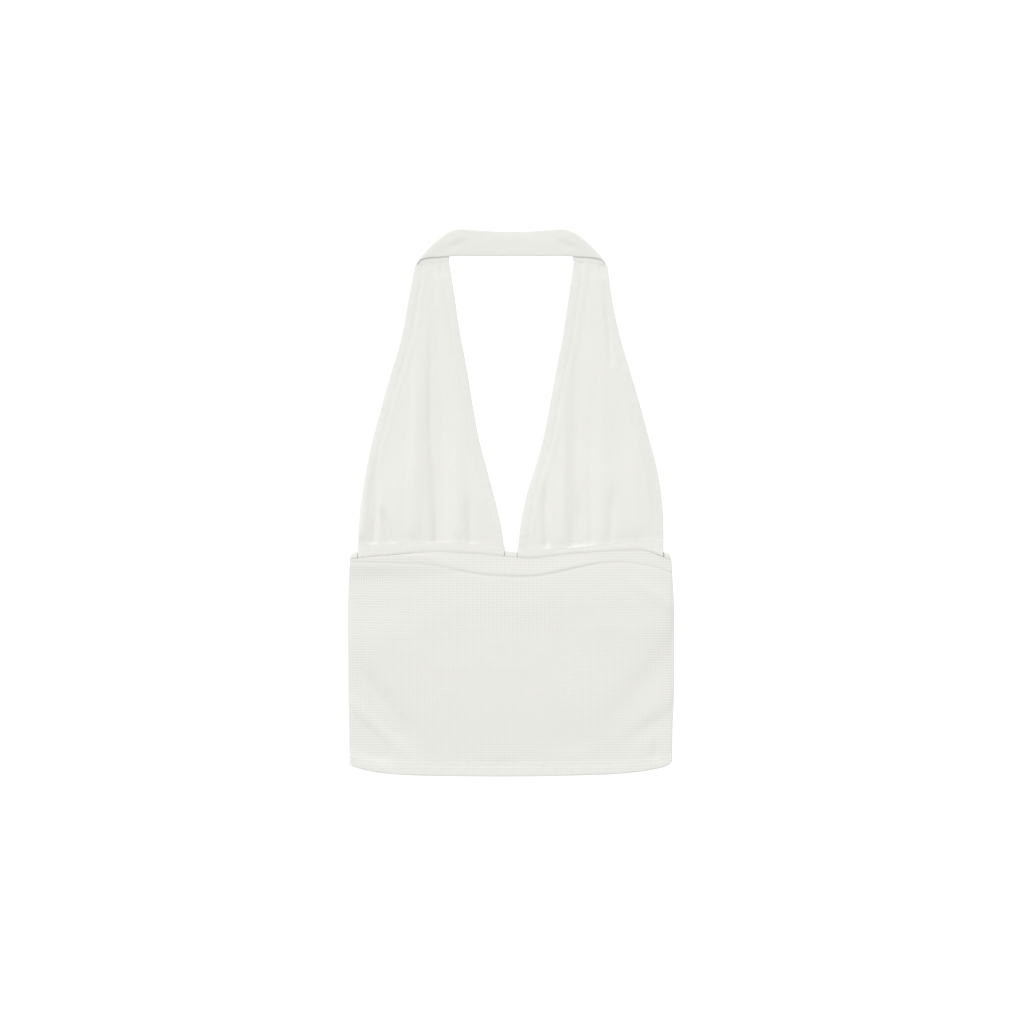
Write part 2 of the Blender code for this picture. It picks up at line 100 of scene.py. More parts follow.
TURNED_PULL_RAMP = (8, 14)
FOOT_PULL_RAMP = (-1, 1)
SETTLED_SOFTNESS = 0.35

# The body: how high it stands at its seam, its hem and its sides
FRONT_STAND_OFF = 3.6
FRONT_SEAM_LIFT = 1.93
FRONT_HEM_LIFT = 1.3
FRONT_SIDE_FALL = 0.3
FRONT_CROWN = 0.2
FRONT_CROWN_HEM_RAMP = (5, 95)
FRONT_CROWN_SEAM_RAMP = (0, 55)
FRONT_SEAM_REACH = 55
FRONT_LEFT_SEAM_REACH = 35
FRONT_HEM_REACH = 85
FRONT_EDGE_SHARPNESS = 50
HEM_PUFF = 0.5
HEM_WALL_RAMP = (-0.4, 1.2)
HEM_PULL_REACH = 5
FOLD_HEM_RAMP = (2, 16)
WRINKLE_HEM_RAMP = (2, 18)
WRINKLE_SIDE_REACH = 12
WRINKLE_SEAM_RAMP = (2, 16)

# The soft roll under the band, which is fuller and broader at its left end
ROLL_LIFT_AT_END = 1.8
ROLL_LIFT_IN_MIDDLE = 0.7
ROLL_FADE_AT_END = 20.0
ROLL_INWARD_RAMP = (-110, -40)
ROLL_RIGHT_FADE = 0.75
ROLL_RIGHT_RAMP = (60, 108)
ROLL_START_ABOVE = 6
ROLL_NIP = 0.25
ROLL_NIP_PLACE = 1.03
ROLL_NIP_WIDTH = 1.6
CREASE_MARGIN = 5.0

# The band stands higher where no cup lies on it, in the foot of the V and at both ends.
BAND_BARE_LIFT = 2.2
BAND_V_RAMP = (6.0, 6.3)
BAND_END_RAMP = (152.9, 153.2)
BAND_SQUARENESS = 0.7

# How far in from an edge the cloth starts to curve down
SIDE_ROUND = 1.3
SEAM_ROUND = 0.5
JOIN_ROUND = 0.03
HEM_ROUND = 1.2
STRAP_LOWER_ROUND = 1.6

# Places of the mesh's lines beside an edge
NEAR_EDGE = np.array([0.0, 0.1, 0.32, 0.65, 1.1, 1.7, 2.5])
NEAR_HEAD = np.array([3.6, 2.5, 1.7, 1.1, 0.65, 0.32, 0.03, 0.0])
NEAR_STRAP_EDGE = np.array([0.0, 0.06, 0.22, 0.5, 0.85])
STRAP_EDGE_REACH = 1.4
FIRST_LINE_SHARE = 0.3
CUP_COLUMN_SPACING = 1.15
CUP_STRIP_SPACING = 0.9
FRONT_SPACING = 1.45
BACK_SPACING = 2.6
ROLL_LENGTH = 25

# Stitches, and the grooves that they pull into the cloth
STITCH_LENGTH = 2.5
STITCH_GAP = 0.8
STITCH_WIDTH = 0.42
STITCH_WANDER = 0.12
STITCH_RISE = 0.10
STITCH_DIP = 0.22
TURNED_STITCH_INSET = 8.2
GATHER_STITCH_INSET = 1.2
HEM_STITCH_INSET = 1.4
HEM_STITCH_MARGIN = 3
BACK_STITCH_HEIGHT = 0.28
TURNED_STITCH_FROM_Y = -38
ARMHOLE_STITCH_TO_Y = 233
NECKLINE_STITCH_TO_Y = 236
GATHER_ENDS_Y = -42
GATHER_END_MARGIN = 2
CUP_GROOVE_WIDTH = 0.8
TURNED_GROOVE_DEPTH = 0.28
TURNED_GROOVE_RAMP = (-2, 4)
GATHER_GROOVE_DEPTH = 0.25
HEM_GROOVE_WIDTH = 0.9
HEM_GROOVE_DEPTH = 0.3
BACK_GROOVE_DEPTH = 0.25
BACK_LINE_DEPTH = 0.12

# Unevenness of the cloth: its height, the size of its bumps and its own seed
Bumps = namedtuple("Bumps", "height cell_x cell_y seed")
CUP_FINE_WRINKLES = Bumps(0.08, 5.0, 62.0, 0)
CUP_BROAD_WRINKLES = Bumps(0.20, 15.0, 90.0, 1)
CUP_WRINKLE_LEAN = 0.04
TURNED_PULL = Bumps(0.12, 9.0, 4.5, 2)
FOOT_PULL = Bumps(0.14, 4.5, 9.0, 3)
BODY_FINE_WRINKLES = Bumps(0.12, 17.0, 15.0, 11)
BODY_BROAD_WRINKLES = Bumps(0.25, 46.0, 40.0, 12)
HEM_PULL = Bumps(0.16, 6.0, 10.0, 13)
STRAP_RIPPLES = Bumps(0.12, 9.0, 7.0, 21)
LEFT_CUP_SEED = 31
RIGHT_CUP_SEED = 41

BodySide = namedtuple("BodySide", "y left right")
BODY_SIDES = (
    BodySide(-262, -161.4, 161.0),
    BodySide(-242, -161.8, 161.2),
    BodySide(-206, -162.6, 162.6),
    BodySide(-150, -163.0, 163.0),
    BodySide(-110, -162.8, 162.8),
    BodySide(-75, -161.4, 161.2),
    BodySide(-50, -160.9, 159.9),
)
BODY_HALF_WIDTH = max(side.right for side in BODY_SIDES)

# The lower edge, which rises to its rounded corners
HemPoint = namedtuple("HemPoint", "x y")
HEM_LINE = (
    HemPoint(-163.0, -255.0),
    HemPoint(-161.0, -260.5),
    HemPoint(-156.0, -264.0),
    HemPoint(-149.5, -266.2),
    HemPoint(-128.5, -270.2),
    HemPoint(-101.5, -272.2),
    HemPoint(-50.0, -273.3),
    HemPoint(30.0, -273.3),
    HemPoint(72.5, -272.3),
    HemPoint(117.5, -270.0),
    HemPoint(143.5, -266.2),
    HemPoint(155.5, -262.8),
    HemPoint(160.5, -259.0),
    HemPoint(163.0, -254.0),
)

# Along the underbust: where the body meets the band, the crease under the soft roll, and the line
# where the cups' gathers begin.
UnderbustLine = namedtuple("UnderbustLine", "x seam crease gather")
UNDERBUST = (
    UnderbustLine(-163, -56.6, -60.0, -42.5),
    UnderbustLine(-140, -54.2, -60.3, -41.5),
    UnderbustLine(-115, -52.2, -60.8, -40.6),
    UnderbustLine(-88, -49.9, -61.6, -40.2),
    UnderbustLine(-64, -49.6, -65.4, -40.0),
    UnderbustLine(-40, -50.6, -70.3, -40.8),
    UnderbustLine(-20, -52.4, -72.7, -42.0),
    UnderbustLine(0, -54.2, -73.9, -44.0),
    UnderbustLine(20, -55.4, -73.9, -45.8),
    UnderbustLine(45, -52.8, -70.0, -46.0),
    UnderbustLine(65, -50.6, -65.4, -44.8),
    UnderbustLine(92, -49.2, -60.4, -41.8),
    UnderbustLine(116, -47.8, -60.2, -39.0),
    UnderbustLine(130, -47.6, -62.0, -37.8),
    UnderbustLine(142, -50.4, -64.2, -37.4),
    UnderbustLine(151, -54.0, -67.0, -37.4),
    UnderbustLine(163, -58.6, -71.0, -37.4),
)

# Edges of the two cups at some heights
CupEdges = namedtuple("CupEdges", "y left_armhole left_neck right_neck right_armhole")
CUP_EDGES = (
    CupEdges(-47, -152.8, -6.4, 6.4, 152.2),
    CupEdges(-20, -152.0, -10.3, 9.6, 152.0),
    CupEdges(6, -149.6, -16.7, 14.8, 149.8),
    CupEdges(34, -144.9, -24.4, 23.4, 144.9),
    CupEdges(62, -138.9, -32.0, 31.6, 137.6),
    CupEdges(94, -130.2, -38.2, 38.2, 129.2),
    CupEdges(130, -120.0, -44.2, 45.0, 119.0),
    CupEdges(166, -109.3, -51.2, 52.2, 108.7),
    CupEdges(200, -103.2, -56.3, 57.3, 101.4),
    CupEdges(234, -96.7, -61.8, 62.5, 96.7),
)

# A fold runs from its foot to its head and bows sideways. It has its own width to the left and to
# the right of its line, and a negative lift makes it a trough.
Fold = namedtuple("Fold", "foot_x foot_y head_x head_y bow left_width right_width lift")
FOLD_TAPER = 0.4
FOLD_FOOT_RAMP = (-12, -2)
FOLD_HEAD_RAMP = (0.5, 1.05)
PLEAT_PINCH = 0.4
PLEAT_PINCH_REACH = 55
LEFT_CUP_FOLDS = (
    Fold(-73.0, -40, -80.0, 200, 0.0, 8.5, 16.0, -4.2),
    Fold(-65.0, -40, -72.0, 120, 0.0, 7.0, 5.0, -1.0),
    Fold(-88.0, -40, -87.0, 110, 0.0, 8.0, 10.0, -0.7),
    Fold(-98.5, -42, -92.0, 175, 0.0, 7.0, 12.0, 1.1),
    Fold(-52.5, -38, -54.0, 100, 0.0, 5.0, 8.0, 0.8),
    Fold(-120.5, -38, -130.0, -2, 0.0, 7.0, 6.0, -2.6),
    Fold(-153.0, -50, -137.0, 80, 0.0, 3.0, 12.0, 1.6),
    Fold(-136.5, -36, -134.0, 50, 0.0, 11.0, 4.5, -2.0),
    Fold(-40.0, -38, -43.0, 10, 0.0, 6.0, 6.0, -1.6),
    Fold(-98.0, 165, -90.0, 232, 0.0, 4.0, 5.0, -0.3),
    Fold(-72.0, 200, -69.0, 240, 0.0, 4.0, 4.0, 0.3),
)
RIGHT_CUP_FOLDS = (
    Fold(62.5, -38, 65.5, 200, -2.0, 8.0, 14.0, -2.2),
    Fold(80.0, -36, 79.0, 110, 0.0, 8.0, 6.0, -1.4),
    Fold(72.0, -38, 66.0, 12, 0.0, 7.0, 5.0, -1.9),
    Fold(51.0, -36, 54.0, 130, -1.0, 6.0, 5.0, 0.7),
    Fold(95.0, -38, 92.0, 140, 1.5, 6.0, 16.0, 0.9),
    Fold(99.0, -38, 103.5, 26, 0.0, 7.0, 8.0, -1.5),
    Fold(36.0, -38, 37.0, 26, 2.0, 6.0, 5.0, -2.1),
    Fold(126.0, -36, 122.0, 100, 0.0, 10.0, 12.0, 0.7),
    Fold(99.5, 145, 93.5, 225, 0.0, 4.0, 5.0, -0.9),
    Fold(157.0, -60, 130.0, 130, 0.0, 9.0, 9.0, -1.6),
    Fold(82.0, 185, 79.0, 236, 0.0, 4.0, 4.0, 0.3),
)
BODY_FOLDS = (
    Fold(-187, -146, -86, -258, 0.0, 22.0, 12.0, -4.8),
    Fold(-180, -212, -112, -262, 0.0, 16.0, 14.0, -4.4),
    Fold(-160, -179, -118, -219, 0.0, 8.0, 8.0, 1.0),
    Fold(-176, -88, -84, -66, 0.0, 16.0, 55.0, -0.9),
    Fold(-185, -142, -70, -124, 0.0, 24.0, 50.0, 0.6),
    Fold(172, -131, 84, -230, 5.0, 28.0, 18.0, -1.8),
    Fold(179, -199, 103, -247, 0.0, 16.0, 10.0, -1.2),
    Fold(146, -268, 143, -232, 0.0, 5.0, 5.0, -1.2),
    Fold(168, -107, 112, -73, 0.0, 8.0, 8.0, 0.7),
    Fold(172, -126, 50, -122, 0.0, 16.0, 14.0, 0.5),
    Fold(-10, -250, -28, -85, 0.0, 26.0, 22.0, 0.6),
    Fold(62, -240, 48, -100, 0.0, 16.0, 18.0, -0.4),
)

# Small puckers where the cups are gathered: place along the gather line, depth and length.
Pucker = namedtuple("Pucker", "x width depth length")
PUCKER_DEPTH = 0.5
PUCKER_RAMP = (-0.5, 2.5)
PUCKER_SPREAD_REACH = 30
LEFT_CUP_PUCKERS = (
    Pucker(-147.5, 1.8, 0.7, 12),
    Pucker(-144.0, 1.6, 0.5, 8),
    Pucker(-134.5, 1.9, 0.9, 17),
    Pucker(-128.0, 1.5, 0.6, 9),
    Pucker(-116.0, 1.8, 0.8, 12),
    Pucker(-111.5, 1.4, 0.5, 7),
    Pucker(-105.5, 1.9, 1.0, 15),
    Pucker(-101.0, 1.4, 0.5, 7),
    Pucker(-96.5, 1.8, 0.9, 13),
    Pucker(-90.0, 1.8, 0.8, 11),
    Pucker(-84.5, 1.4, 0.5, 7),
    Pucker(-74.0, 1.8, 0.9, 14),
    Pucker(-61.5, 1.6, 0.7, 10),
    Pucker(-49.5, 1.4, 0.5, 8),
    Pucker(-42.0, 1.9, 1.0, 13),
    Pucker(-35.0, 1.5, 0.7, 9),
    Pucker(-24.5, 1.6, 0.6, 11),
    Pucker(-17.0, 1.5, 0.5, 9),
)
RIGHT_CUP_PUCKERS = (
    Pucker(16.0, 1.6, 0.6, 10),
    Pucker(24.0, 1.7, 0.7, 12),
    Pucker(30.0, 1.4, 0.5, 8),
    Pucker(38.0, 1.6, 0.6, 10),
    Pucker(47.5, 1.8, 0.8, 13),
    Pucker(54.0, 1.5, 0.6, 8),
    Pucker(66.5, 1.8, 1.0, 15),
    Pucker(72.5, 1.4, 0.6, 8),
    Pucker(80.5, 1.8, 0.9, 13),
    Pucker(87.0, 1.3, 0.4, 6),
    Pucker(95.0, 1.7, 0.8, 11),
    Pucker(109.0, 1.5, 0.6, 9),
    Pucker(115.0, 1.3, 0.4, 7),
    Pucker(121.0, 1.5, 0.6, 9),
    Pucker(131.5, 1.6, 0.7, 12),
    Pucker(140.5, 1.5, 0.6, 10),
    Pucker(147.0, 1.6, 0.6, 12),
)

# The neck strap: matching points of its inner and outer edge, and its mid-plane's height.
StrapStation = namedtuple("StrapStation", "inner_x inner_y outer_x outer_y height lip")
STRAP_UNDER = (
    StrapStation(-61.9, CUP_HEAD_INNER_Y + 0.03, -96.2, CUP_HEAD_OUTER_Y + 0.03, 1.03, 0.0),
    StrapStation(-61.7, 250.0, -95.6, 236.8, 1.5, -0.15),
    StrapStation(-61.4, 260.0, -94.9, 237.5, 1.85, -0.4),
)
STRAP_FOLD = StrapStation(-61.1, 270.0, -94.0, 238.3, 2.0, -0.5)
STRAP_FOLD_RADIUS = 0.6
STRAP_FOLD_BOW = 2.4
STRAP_OVER = (
    StrapStation(-60.2, 270.5, -92.9, 239.7, 3.2, -0.45),
    StrapStation(-58.8, 271.2, -90.6, 242.2, 3.2, -0.4),
    StrapStation(-56.3, 272.2, -86.0, 243.8, 3.2, -0.25),
    StrapStation(-53.8, 272.8, -79.0, 244.8, 3.15, -0.35),
    StrapStation(-50.5, 273.1, -67.0, 245.6, 3.1, -0.4),
    StrapStation(-45.5, 273.0, -53.5, 246.3, 2.5, -0.25),
    StrapStation(-38.0, 272.6, -40.5, 246.3, 1.7, 0.0),
    StrapStation(-26.0, 271.7, -26.5, 246.3, 1.0, 0.0),
    StrapStation(-13.0, 271.1, -13.0, 246.4, 0.7, 0.0),
    StrapStation(0.0, 270.9, 0.0, 246.5, 0.7, 0.0),
)
STRAP_CROWN = 0.3
STRAP_SAG = 0.1
STRAP_SAG_WIDTH = 6.5
STRAP_UNDER_RINGS = 12
STRAP_FOLD_RINGS = 15
STRAP_OVER_RINGS = 64
STRAP_BOW_RINGS = 30
STRAP_CROWN_RINGS = 16
STRAP_DENTS = (
    Fold(-67, 252, -46, 261, 0.0, 5.0, 5.0, -0.5),
    Fold(-56, 262, -40, 268, 0.0, 4.0, 4.0, 0.3),
    Fold(50, 262, 74, 252, 0.0, 5.0, 5.0, -0.5),
    Fold(66, 251, 78, 248, 0.0, 4.0, 4.0, 0.3),
    Fold(-20, 262, 22, 264, 0.0, 6.0, 6.0, 0.25),
)

# Colours
CREAM = (0.79, 0.788, 0.752)
CREAM_SHADE = (0.748, 0.742, 0.705)
# The knit's base colour is set darker than the cups' as painted shade for the knit's self-shading.
KNIT_CREAM = (0.748, 0.745, 0.711)
# Painted shade: the knit's colour in its hollows.
KNIT_PAINTED_SHADE = (0.692, 0.686, 0.650)
THREAD = (0.82, 0.818, 0.785)
FLOOR_WHITE = (0.22, 0.22, 0.22)
FLOOR_SHADE = (0.18, 0.18, 0.18)
FLOOR_GLOW = 0.92

# Threads and their relief, in metres
CUP_THREAD = 0.00055
STRAP_THREAD = 0.00050
WEAVE_RELIEF = 0.00009
KNIT_RELIEF = 0.00016
THREAD_RELIEF = 0.00006

# The floor, the light and the picture, in metres
FLOOR_REACH = 1.6
FLOOR_LEVEL = -0.0004
SKY_STRENGTH = 0.75
KEY_STRENGTH = 1.80
KEY_SOFTNESS = 24.0
KEY_FROM = (-0.23, 0.69, 0.685)
PICTURE_WIDTH = 1.024
PICTURE_CENTRE = (0.001, -0.0095)
CAMERA_LENS = 100.0
CAMERA_SENSOR = 36.0


# Curves and relief


def smooth_curve(known, wanted, at):
    """A smooth curve through the wanted values at known places, read at the given places."""
    slopes = np.gradient(wanted, known)
    at = np.clip(np.asarray(at, float), known[0], known[-1])
    low = np.clip(np.searchsorted(known, at) - 1, 0, len(known) - 2)
    span = known[low + 1] - known[low]
    s = (at - known[low]) / span
    return (
        wanted[low] * (1 + 2 * s) * (1 - s) ** 2
        + slopes[low] * span * s * (1 - s) ** 2
        + wanted[low + 1] * s**2 * (3 - 2 * s)
        - slopes[low + 1] * span * s**2 * (1 - s)
    )


def follow(rows, key, value, at):
    """A smooth curve through one named column of a table, read at the given places."""
    known = np.array([getattr(row, key) for row in rows], float)
    wanted = np.array([getattr(row, value) for row in rows], float)
    return smooth_curve(known, wanted, at)


def step(low, high, value):
    """0 below low, 1 above high, and smooth between them."""
    s = np.clip((value - low) / (high - low), 0, 1)
    return s * s * (3 - 2 * s)


def bell(distance, width):
    """1 on a line, falling smoothly to 0 on both sides of it."""
    return np.exp(-((distance / width) ** 2))


def folds_at(folds, x, y, pinch=0.0):
    """The height that a table of folds adds at each point. Troughs close by the pinch at their foot."""
    total = np.zeros_like(x)
    for fold in folds:
        run = np.array([fold.head_x - fold.foot_x, fold.head_y - fold.foot_y])
        length = np.hypot(*run)
        along = ((x - fold.foot_x) * run[0] + (y - fold.foot_y) * run[1]) / length**2
        across = ((x - fold.foot_x) * run[1] - (y - fold.foot_y) * run[0]) / length
        middle = np.clip(along, 0, 1)
        across = across + 4 * fold.bow * middle * (1 - middle)
        width = np.where(across < 0, fold.left_width, fold.right_width) * (1 - FOLD_TAPER * middle)
        if fold.lift < 0:
            width = width * (1 - pinch * (1 - step(0, PLEAT_PINCH_REACH, along * length)))
        ends = step(*FOLD_FOOT_RAMP, along * length) * (1 - step(*FOLD_HEAD_RAMP, along))
        total += fold.lift * ends * bell(across, width)
    return total


def puckers_at(puckers, x, above):
    """Short creases that start at the gather line and die out above it."""
    total = np.zeros_like(x)
    for pucker in puckers:
        rise = step(*PUCKER_RAMP, above) * np.exp(-np.clip(above, 0, None) / pucker.length)
        spread = pucker.width * (1 + np.clip(above, 0, None) / PUCKER_SPREAD_REACH)
        total -= PUCKER_DEPTH * pucker.depth * rise * bell(x - pucker.x, spread)
    return total


def soft_noise(x, y, cell_x, cell_y, seed):
    """Smooth bumps between -1 and 1, one cell apart, the same on every run."""
    table = np.random.RandomState(seed).uniform(-1, 1, (64, 64))
    gx, gy = x / cell_x, y / cell_y
    ix, iy = np.floor(gx).astype(int), np.floor(gy).astype(int)
    sx, sy = gx - ix, gy - iy
    sx, sy = sx * sx * (3 - 2 * sx), sy * sy * (3 - 2 * sy)
    near = table[iy % 64, ix % 64] * (1 - sx) + table[iy % 64, (ix + 1) % 64] * sx
    far = table[(iy + 1) % 64, ix % 64] * (1 - sx) + table[(iy + 1) % 64, (ix + 1) % 64] * sx
    return near * (1 - sy) + far * sy


def bumps_at(bumps, x, y, seed=0):
    """The height that the cloth's unevenness adds."""
    return bumps.height * soft_noise(x, y, bumps.cell_x, bumps.cell_y, seed + bumps.seed)


def settled(lift):
    """Lifts the cloth softly clear of what it lies on, so that no trough sinks below it."""
    return (lift + np.sqrt(lift**2 + SETTLED_SOFTNESS**2)) / 2


def groove(distance, width, depth):
    """The dip that a row of stitches pulls into the cloth."""
    return -depth * bell(distance, width)


# Outlines


def body_seam(x):
    return follow(UNDERBUST, "x", "seam", x)


def cup_foot(x):
    return body_seam(x) + SEWN_GAP


def gather_line(x):
    return follow(UNDERBUST, "x", "gather", x)


def cup_head(share):
    return CUP_HEAD_OUTER_Y + share * (CUP_HEAD_INNER_Y - CUP_HEAD_OUTER_Y)


def hem_edge(x):
    return follow(HEM_LINE, "x", "y", x)


def hem_fold(x):
    """The hem's upper fold, which follows the edge only in part."""
    level = hem_edge(np.zeros_like(x))
    return hem_edge(x) * HEM_FOLLOWS_EDGE + level * (1 - HEM_FOLLOWS_EDGE) + HEM_DEPTH


def from_body_end(x):
    """How far in from the end of the body's upper edge a point lies, up to the corner's round."""
    left, right = BODY_SIDES[-1].left, BODY_SIDES[-1].right
    return np.clip(np.minimum(x - left, right - x), 0, CORNER_ROUND)


def band_top(x):
    """The band's upper edge, with its rounded outer corners."""
    share = 1 - from_body_end(x) / CORNER_ROUND
    return body_seam(x) + BAND_HEIGHT * (BAND_END_SHARE + (1 - BAND_END_SHARE) * np.sqrt(1 - share**2))


def sorted_edges(one, other):
    """The edge further to the left and the edge further to the right."""
    return np.minimum(one, other), np.maximum(one, other)


def cup_edge(column):
    return lambda y: follow(CUP_EDGES, "y", column, y)


# Mesh makers


def make_piece(name, points, faces, material):
    """A smooth mesh piece, in metres, that lies with the whole top."""
    mesh = bpy.data.meshes.new(name)
    mesh.from_pydata((np.asarray(points) * MM).tolist(), [], faces)
    mesh.materials.append(material)
    mesh.shade_smooth()
    mesh.update()
    piece = bpy.data.objects.new(name, mesh)
    bpy.context.scene.collection.objects.link(piece)
    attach(piece, "root")
    return piece


def edge_spread(length, middle_step):
    """Places from 0 to length, close together at both ends for a round edge."""
    reach = NEAR_EDGE[-1]
    count = max(3, int(round((length - 2 * reach) / middle_step)))
    middle = np.linspace(reach, length - reach, count + 1)
    return np.concatenate([NEAR_EDGE[:-1], middle, length - NEAR_EDGE[:-1][::-1]])


def laid_cloth(name, x, y, upper, lower, material, first_round, last_round):
    """A closed shell between two height fields over one grid. Its edges curve down all round."""
    rows, columns = x.shape
    sides = np.minimum(np.abs(x - x[:, :1]), np.abs(x[:, -1:] - x)) / SIDE_ROUND
    ends = np.minimum(np.abs(y - y[:1]) / first_round, np.abs(y[-1:] - y) / last_round)
    half = (upper - lower) / 2
    share = np.clip(np.minimum(sides, ends), 0, 1)
    round_off = np.sqrt(1 - (1 - share) ** 2)
    middle = (upper + lower) / 2
    top = np.dstack([x, y, middle + half * round_off]).reshape(-1, 3)
    inner = np.zeros((rows, columns), bool)
    inner[1:-1, 1:-1] = True
    bottom = np.dstack([x, y, middle - half * round_off])[inner]
    top_index = np.arange(rows * columns).reshape(rows, columns)
    bottom_index = top_index.copy()
    bottom_index[inner] = rows * columns + np.arange(inner.sum())

    def quads(index):
        return np.stack([index[:-1, :-1], index[:-1, 1:], index[1:, 1:], index[1:, :-1]], -1)

    turns_up = (x[0, -1] - x[0, 0]) * (y[-1, 0] - y[0, 0]) > 0
    up, down = quads(top_index).reshape(-1, 4), quads(bottom_index).reshape(-1, 4)
    if turns_up:
        down = down[:, ::-1]
    else:
        up = up[:, ::-1]
    faces = np.concatenate([up, down]).tolist()
    return make_piece(name, np.concatenate([top, bottom]), faces, material)


def cloth_through_rings(name, rings, material):
    """A closed body through a row of rings that have the same number of points."""
    count, sides = len(rings), len(rings[0])
    points = [point for ring in rings for point in ring]
    faces = []
    for r in range(count - 1):
        for i in range(sides):
            j = (i + 1) % sides
            faces.append((r * sides + i, r * sides + j, (r + 1) * sides + j, (r + 1) * sides + i))
    faces.append(tuple(range(sides - 1, -1, -1)))
    faces.append(tuple((count - 1) * sides + i for i in range(sides)))
    return make_piece(name, points, faces, material)


def stitch_row(name, path, material):
    """A run of sewn stitches: short rounded threads whose ends dip into the cloth."""
    path = np.asarray(path, float)
    lengths = np.concatenate([[0], np.cumsum(np.linalg.norm(np.diff(path, axis=0), axis=1))])
    pitch = STITCH_LENGTH + STITCH_GAP
    count = int(lengths[-1] // pitch)
    stations = np.linspace(-1, 1, 7)
    thin = np.sqrt(np.clip(1 - np.abs(stations) ** 3, 0.06, 1))
    sides = 6
    angles = np.arange(sides) * 2 * math.pi / sides
    points, faces = [], []
    for k in range(count):
        middle = (k + 0.5) * pitch + STITCH_WANDER * math.sin(k * 2.4)
        at = middle + stations * STITCH_LENGTH / 2
        spine = np.stack([np.interp(at, lengths, path[:, axis]) for axis in range(3)], 1)
        spine[:, 2] += STITCH_RISE - STITCH_DIP * stations**4
        run = spine[-1] - spine[0]
        run /= np.linalg.norm(run)
        side = np.cross(run, (0, 0, 1))
        side /= np.linalg.norm(side)
        rise = np.cross(side, run)
        base = len(points)
        for place, radius in zip(spine, thin * STITCH_WIDTH / 2):
            for angle in angles:
                points.append(place + radius * (math.cos(angle) * side + math.sin(angle) * rise))
        for r in range(len(stations) - 1):
            for i in range(sides):
                j = (i + 1) % sides
                low, high = base + r * sides, base + (r + 1) * sides
                faces.append((low + i, low + j, high + j, high + i))
        faces.append(tuple(base + i for i in range(sides - 1, -1, -1)))
        faces.append(tuple(base + (len(stations) - 1) * sides + i for i in range(sides)))
    return make_piece(name, points, faces, material)


# Shader groups and materials


def new_group(name, inputs, outputs):
    """An empty node group with named number inputs and named outputs."""
    group = bpy.data.node_groups.new(name, "ShaderNodeTree")
    for title, value in inputs:
        socket = group.interface.new_socket(title, in_out="INPUT", socket_type="NodeSocketFloat")
        socket.default_value = value
    for title, kind in outputs:
        group.interface.new_socket(title, in_out="OUTPUT", socket_type=kind)
    return group, group.nodes.new("NodeGroupInput"), group.nodes.new("NodeGroupOutput")


def plug(tree, source, target):
    tree.links.new(source, target)


def calculate(tree, operation, *values):
    """A math node. Each value is a number or a socket."""
    node = tree.nodes.new("ShaderNodeMath")
    node.operation = operation
    for socket, value in zip(node.inputs, values):
        if isinstance(value, (int, float)):
            socket.default_value = value
        else:
            plug(tree, value, socket)
    return node.outputs[0]


def cloth_place(tree):
    """The point on the piece, in metres."""
    return tree.nodes.new("ShaderNodeTexCoord").outputs["Object"]


def along_and_across(tree, place):
    """The point's X and Y."""
    split = tree.nodes.new("ShaderNodeSeparateXYZ")
    plug(tree, place, split.inputs[0])
    return split.outputs["X"], split.outputs["Y"]


def noise(tree, place, scale, detail=2.0):
    node = tree.nodes.new("ShaderNodeTexNoise")
    node.inputs["Scale"].default_value = scale
    node.inputs["Detail"].default_value = detail
    plug(tree, place, node.inputs["Vector"])
    return node.outputs["Fac"]


def wander(tree, axis, place, scale, reach):
    """One coordinate, pushed sideways a little by noise, so that yarns aren't ruler-straight."""
    pushed = calculate(tree, "SUBTRACT", noise(tree, place, scale), 0.5)
    return calculate(tree, "MULTIPLY_ADD", pushed, reach, axis)


def ripple(tree, axis, cell):
    """0 on the lines of a grid and 1 halfway between them."""
    turns = calculate(tree, "DIVIDE", axis, cell)
    wave = calculate(tree, "SINE", calculate(tree, "MULTIPLY", turns, math.pi))
    return calculate(tree, "ABSOLUTE", wave)


def waffle_knit_group():
    """Square hollows between raised yarns. Gives the height and a mask of the hollows, which the body's
    colour uses for painted shade.
    """
    group, given, out = new_group(
        "waffle_knit",
        [("Cell", 0.00265), ("Unevenness", 0.0006)],
        [("Height", "NodeSocketFloat"), ("Hollow", "NodeSocketFloat")],
    )
    place = cloth_place(group)
    x, y = along_and_across(group, place)
    cell, reach = given.outputs["Cell"], given.outputs["Unevenness"]
    across = ripple(group, wander(group, x, place, 70.0, reach), cell)
    along = ripple(group, wander(group, y, place, 63.0, reach), cell)
    hollow = calculate(group, "MULTIPLY", across, along)
    yarn = calculate(group, "MULTIPLY", noise(group, place, 2600.0, 1.0), 0.22)
    height = calculate(group, "ADD", calculate(group, "SUBTRACT", 1.0, hollow), yarn)
    plug(group, height, out.inputs["Height"])
    plug(group, hollow, out.inputs["Hollow"])
    return group


def fine_weave_group():
    """Plain weave: every thread passes over one neighbour and under the next."""
    group, given, out = new_group(
        "fine_weave",
        [("Thread", 0.00055), ("Unevenness", 0.0002)],
        [("Height", "NodeSocketFloat")],
    )
    place = cloth_place(group)
    x, y = along_and_across(group, place)
    warp = wander(group, x, place, 120.0, given.outputs["Unevenness"])
    weft = wander(group, y, place, 110.0, given.outputs["Unevenness"])
    waves = []
    for axis in (warp, weft):
        turns = calculate(group, "DIVIDE", axis, given.outputs["Thread"])
        waves.append(calculate(group, "SINE", calculate(group, "MULTIPLY", turns, math.pi)))
    crossing = calculate(group, "MULTIPLY", waves[0], waves[1])
    backs = [calculate(group, "ABSOLUTE", wave) for wave in waves]
    round_threads = calculate(group, "MULTIPLY", backs[0], backs[1])
    height = calculate(group, "MULTIPLY_ADD", crossing, 0.25, round_threads)
    plug(group, height, out.inputs["Height"])
    return group


